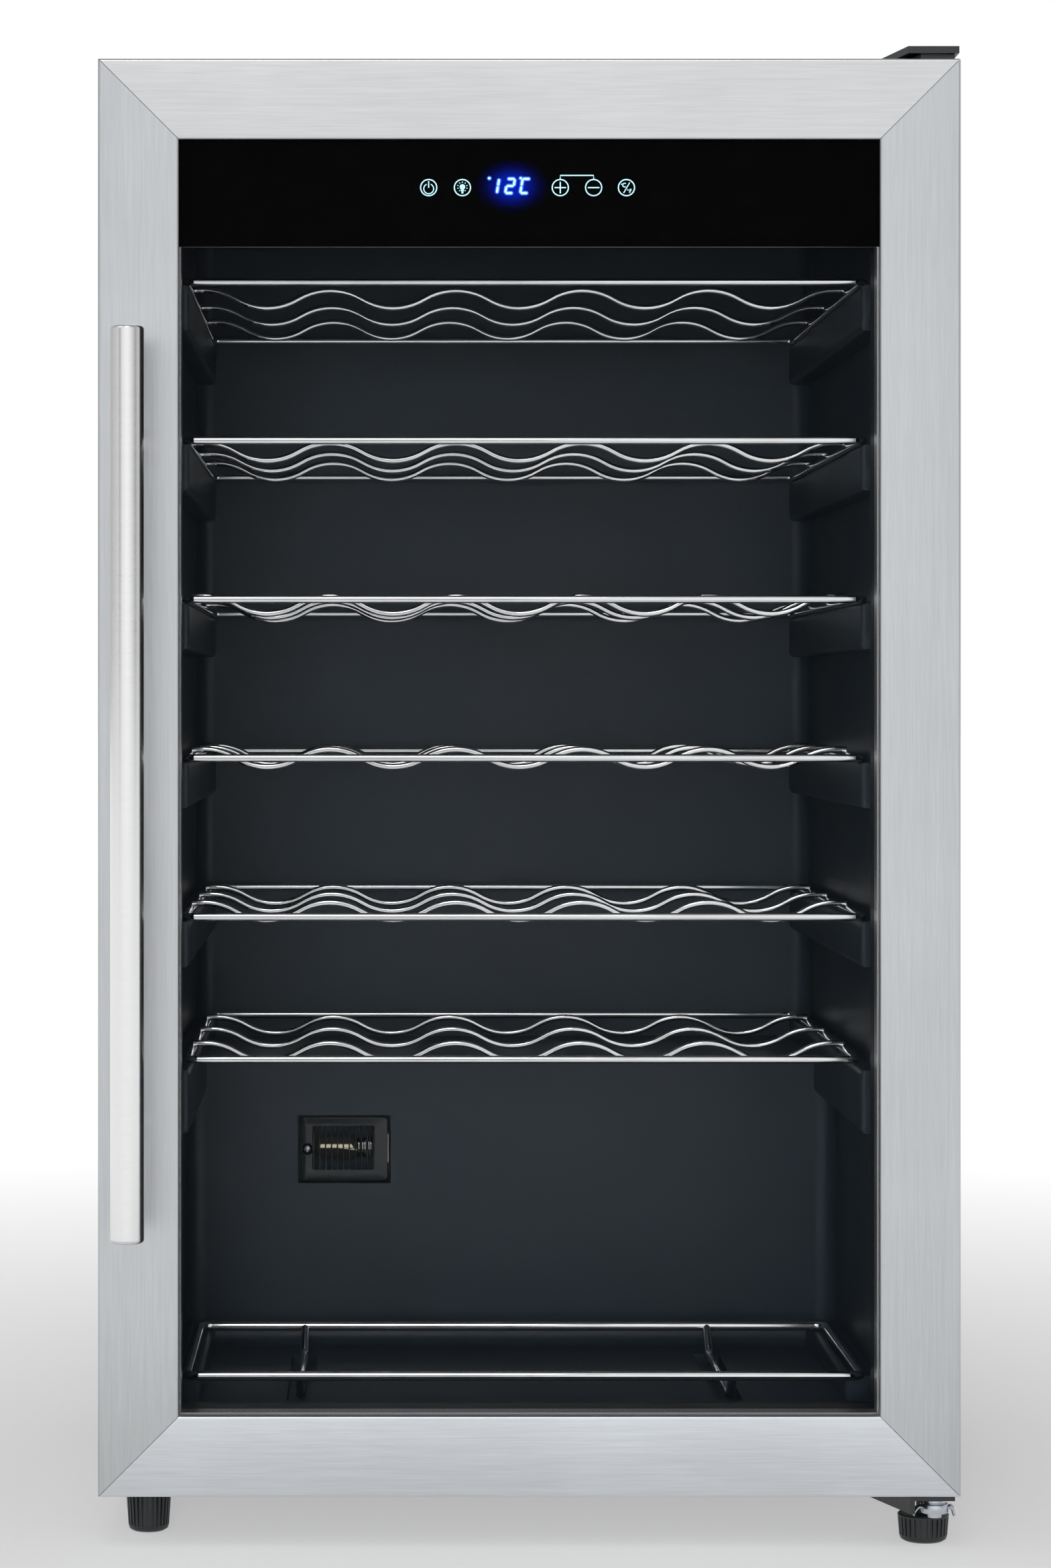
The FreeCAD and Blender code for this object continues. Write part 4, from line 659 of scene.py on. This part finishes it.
def lamp_bulb():
    """A tubular bulb with its filament, and its threaded cap."""
    low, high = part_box("lamp_bulb")
    radius = (high.z - low.z) / 2
    centre = (low.x, (low.y + high.y) / 2, (low.z + high.z) / 2)
    cap = 10 * MM                       # length of the threaded cap
    glass_end = high.x - low.x - cap
    dome, dome_steps = 6 * MM, 7
    profile = [(radius * math.sin(math.radians(10 + 80 * i / dome_steps)),
                dome * (1 - math.cos(math.radians(90 * i / dome_steps)))) for i in range(dome_steps + 1)]
    profile += [(radius, glass_end - 5 * MM), (radius * 0.96, glass_end - 2 * MM), (radius * 0.84, glass_end)]
    shape = bmesh.new()
    lathe(shape, centre, "x", profile, 48)
    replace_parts(settle("bulb_glass", shape, PAINTS["lamp_glass"], "cabinet", 60), "lamp_bulb")
    thread = []
    for i in range(25):
        run = glass_end + cap * i / 24
        thread.append((radius * (0.84 + 0.05 * math.cos(2 * math.pi * i / 6)), run))
    shape = bmesh.new()
    lathe(shape, centre, "x", thread, 40)
    settle("bulb_thread", shape, PAINTS["chrome_wire"], "cabinet", 70)
    shape = bmesh.new()
    coil = []
    near, far, lift = 3, 24, 0.4 * MM
    coil_radius, turns, count = 0.8 * MM, 16, 256
    for i in range(count):
        turn = 2 * math.pi * turns * i / (count - 1)
        coil.append((centre[0] + (near + (far - near) * i / (count - 1)) * MM,
                     centre[1] + coil_radius * math.cos(turn),
                     centre[2] + lift + coil_radius * math.sin(turn)))
    sweep(shape, coil, 0.5 * MM, 6)
    for x in (near + 5, far - 3):
        sweep(shape, [(centre[0] + x * MM, centre[1], centre[2] + lift),
                      (centre[0] + glass_end, centre[1] - 1.5 * MM, centre[2] - 2 * MM)], 0.18 * MM, 6)
    # The filament glows faintly though the lamp is off: a painted highlight that stands for the bright reflection
    # line on the bulb's glass.
    wire = glowing("filament_painted_highlight", (1.0, 0.90, 0.66), 0.55)
    settle("bulb_filament", shape, wire, "cabinet", 60)


def wing_nut():
    """The lock nut under the door's hinge pin: two turned rings and two bent lugs."""
    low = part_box("hinge_wing_nut")[0]
    pin_low, pin_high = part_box("hinge_pins")
    x, y = (pin_low.x + pin_high.x) / 2, (pin_low.y + pin_high.y) / 2
    shape = bmesh.new()
    rings = [(4.2, 10.4), (6.6, 10.4), (6.8, 10.1), (6.8, 8.9), (6.3, 8.5), (6.3, 8.1), (7.6, 7.9), (7.9, 7.5),
             (7.9, 3.2), (7.5, 2.7), (4.2, 2.5)]
    lathe(shape, (x, y, low.z), "z", [(radius * MM, z * MM) for radius, z in rings], 64)
    for side, reach in ((-1, 12.3), (1, 11.3)):
        loops = []
        for across, z, tall in ((7.0, 6.2, 2.2), (8.6, 6.3, 2.4), (10.0, 5.4, 2.2), (reach - 0.9, 3.4, 1.7),
                                (reach - 0.2, 1.4, 1.2)):
            centre = (x + side * across * MM, y - 1.2 * MM, low.z + z * MM)
            loops.append([(centre[0] + side * 0.75 * MM * math.cos(turn), centre[1] + 2.2 * MM * math.sin(turn),
                           centre[2] + tall * 0.5 * MM * math.cos(turn))
                          for turn in (2 * math.pi * k / 12 for k in range(12))])
        loft(shape, loops, capped=True)
    nut = settle("wing_nut_turned", shape, PAINTS["zinc"], "cabinet", 40)
    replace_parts(nut, "hinge_wing_nut")


# Stage

CAMERA_X = -87.6 * MM                   # left of the object's middle
CAMERA_Z = DOOR_LOW + 441 * MM
CAMERA_AWAY = 2150 * MM                 # in front of the door's face


def stage_floor():
    """A wide pale floor that brightens into the backdrop."""
    shape = bmesh.new()
    bmesh.ops.create_circle(shape, cap_ends=True, segments=96, radius=60)
    mesh = bpy.data.meshes.new("floor")
    shape.to_mesh(mesh)
    shape.free()
    floor = bpy.data.objects.new("floor", mesh)
    bpy.context.scene.collection.objects.link(floor)
    ground = Paint("pale_floor", (0.86, 0.86, 0.86), 0.7)
    where = ground.add("ShaderNodeTexCoord")
    length = ground.add("ShaderNodeVectorMath", operation="LENGTH")
    ground.join(where.outputs["Object"], length.inputs[0])
    far = ground.spread(length.outputs["Value"], 0.42, 1, 0.3, 1.8)
    ground.join(far, ground.shader.inputs["Emission Strength"])
    ground.set("Emission Color", (1, 1, 1, 1))
    ramp = ground.add("ShaderNodeValToRGB")
    ramp.color_ramp.elements[0].color = (0.88, 0.88, 0.88, 1)
    ramp.color_ramp.elements[1].color = (0.0, 0.0, 0.0, 1)
    ground.join(far, ramp.inputs["Fac"])
    ground.join(ramp.outputs["Color"], ground.shader.inputs["Base Color"])
    mesh.materials.append(ground.mat)


# The brightness of the studio's walls by direction, in degrees from the front.
STUDIO = ((-180, 0.55), (-120, 0.60), (-58, 0.78), (-52, 0.70), (-48, 0.25), (-44, 0.62), (-34, 0.98), (0, 1.20),
          (18, 1.10), (40, 0.80), (52, 0.60), (62, 0.40), (72, 0.60), (85, 0.75), (110, 0.55), (180, 0.55))
BRIGHT = 1.2            # the brightest wall's strength
SOFT_SHARE = 0.30       # how much of the studio's light falls on matt surfaces


def studio_light():
    """A soft round studio for light and reflections, plain white behind the object."""
    world = bpy.data.worlds.new("studio")
    bpy.context.scene.world = world
    world.use_nodes = True
    nodes, links = world.node_tree.nodes, world.node_tree.links

    def maths(operation, first, second=None):
        node = nodes.new("ShaderNodeMath")
        node.operation = operation
        for socket, value in zip(node.inputs, (first, second)):
            if isinstance(value, (int, float)):
                socket.default_value = value
            elif value is not None:
                links.new(value, socket)
        return node.outputs[0]

    where = nodes.new("ShaderNodeTexCoord")
    parts = nodes.new("ShaderNodeSeparateXYZ")
    links.new(where.outputs["Generated"], parts.inputs[0])
    turn = maths("ARCTAN2", parts.outputs["X"], maths("MULTIPLY", parts.outputs["Y"], -1))
    share = maths("ADD", maths("DIVIDE", turn, 2 * math.pi), 0.5)
    ramp = nodes.new("ShaderNodeValToRGB")
    points = ramp.color_ramp.elements
    points[0].position, points[1].position = 0, 1
    for degrees, _ in STUDIO[1:-1]:
        points.new((degrees + 180) / 360)
    for point, (_, level) in zip(points, STUDIO):
        point.color = (level / BRIGHT, level / BRIGHT, level / BRIGHT, 1)
    links.new(share, ramp.inputs["Fac"])
    height = maths("ABSOLUTE", parts.outputs["Z"])
    fall = maths("SUBTRACT", 1.0, maths("MULTIPLY", maths("POWER", height, 2.0), 0.45))
    studio = nodes["Background"]
    links.new(ramp.outputs["Color"], studio.inputs["Color"])
    plain = nodes.new("ShaderNodeBackground")
    plain.inputs["Color"].default_value = (1, 1, 1, 1)
    kind = nodes.new("ShaderNodeLightPath")
    soft = maths("SUBTRACT", 1.0, maths("MULTIPLY", kind.outputs["Is Diffuse Ray"], 1 - SOFT_SHARE))
    links.new(maths("MULTIPLY", maths("MULTIPLY", fall, BRIGHT), soft), studio.inputs["Strength"])
    either = nodes.new("ShaderNodeMixShader")
    links.new(kind.outputs["Is Camera Ray"], either.inputs["Fac"])
    links.new(studio.outputs[0], either.inputs[1])
    links.new(plain.outputs[0], either.inputs[2])
    links.new(either.outputs[0], nodes["World Output"].inputs["Surface"])


# Name, place, aim, size, watts, spread in degrees, and whether it is mirrored in gloss.
LAMPS = (("top_left", (-1.5, -1.2, 2.0), (-0.1, -0.2, 0.7), 0.9, 4, 180, True),
         ("front_high", (-0.2, -2.0, 2.4), (0, 0, 0.3), 0.7, 9, 180, True),
         ("front_soft", (-0.3, -3.2, 0.5), (0, 0, 0.16), 0.9, 4, 40, False))


def stage():
    """Floor, light and the camera."""
    stage_floor()
    studio_light()
    for name, place, aim, size, power, spread, mirrored in LAMPS:
        light = bpy.data.lights.new(name, "AREA")
        light.size = size
        light.energy = power
        light.spread = math.radians(spread)
        lamp = bpy.data.objects.new(name, light)
        lamp.location = place
        lamp.visible_glossy = mirrored
        lamp.rotation_euler = (Vector(aim) - Vector(place)).to_track_quat("-Z", "Y").to_euler()
        bpy.context.scene.collection.objects.link(lamp)
    camera = bpy.data.cameras.new("camera")
    camera.lens = 88.8
    camera.sensor_width = 36
    camera.shift_x = 0.098
    camera.shift_y = -0.051
    viewer = bpy.data.objects.new("camera", camera)
    viewer.location = (CAMERA_X, DOOR_FACE - CAMERA_AWAY, CAMERA_Z)
    viewer.rotation_euler = (math.radians(90), 0, 0)
    bpy.context.scene.collection.objects.link(viewer)
    bpy.context.scene.camera = viewer
    bpy.context.scene.view_settings.view_transform = "Standard"


dress_cad()
door_trims()
control_band()
display_glow()
touch_marks()
digits()
lamp_cover()
lamp_bulb()
wing_nut()
stage()
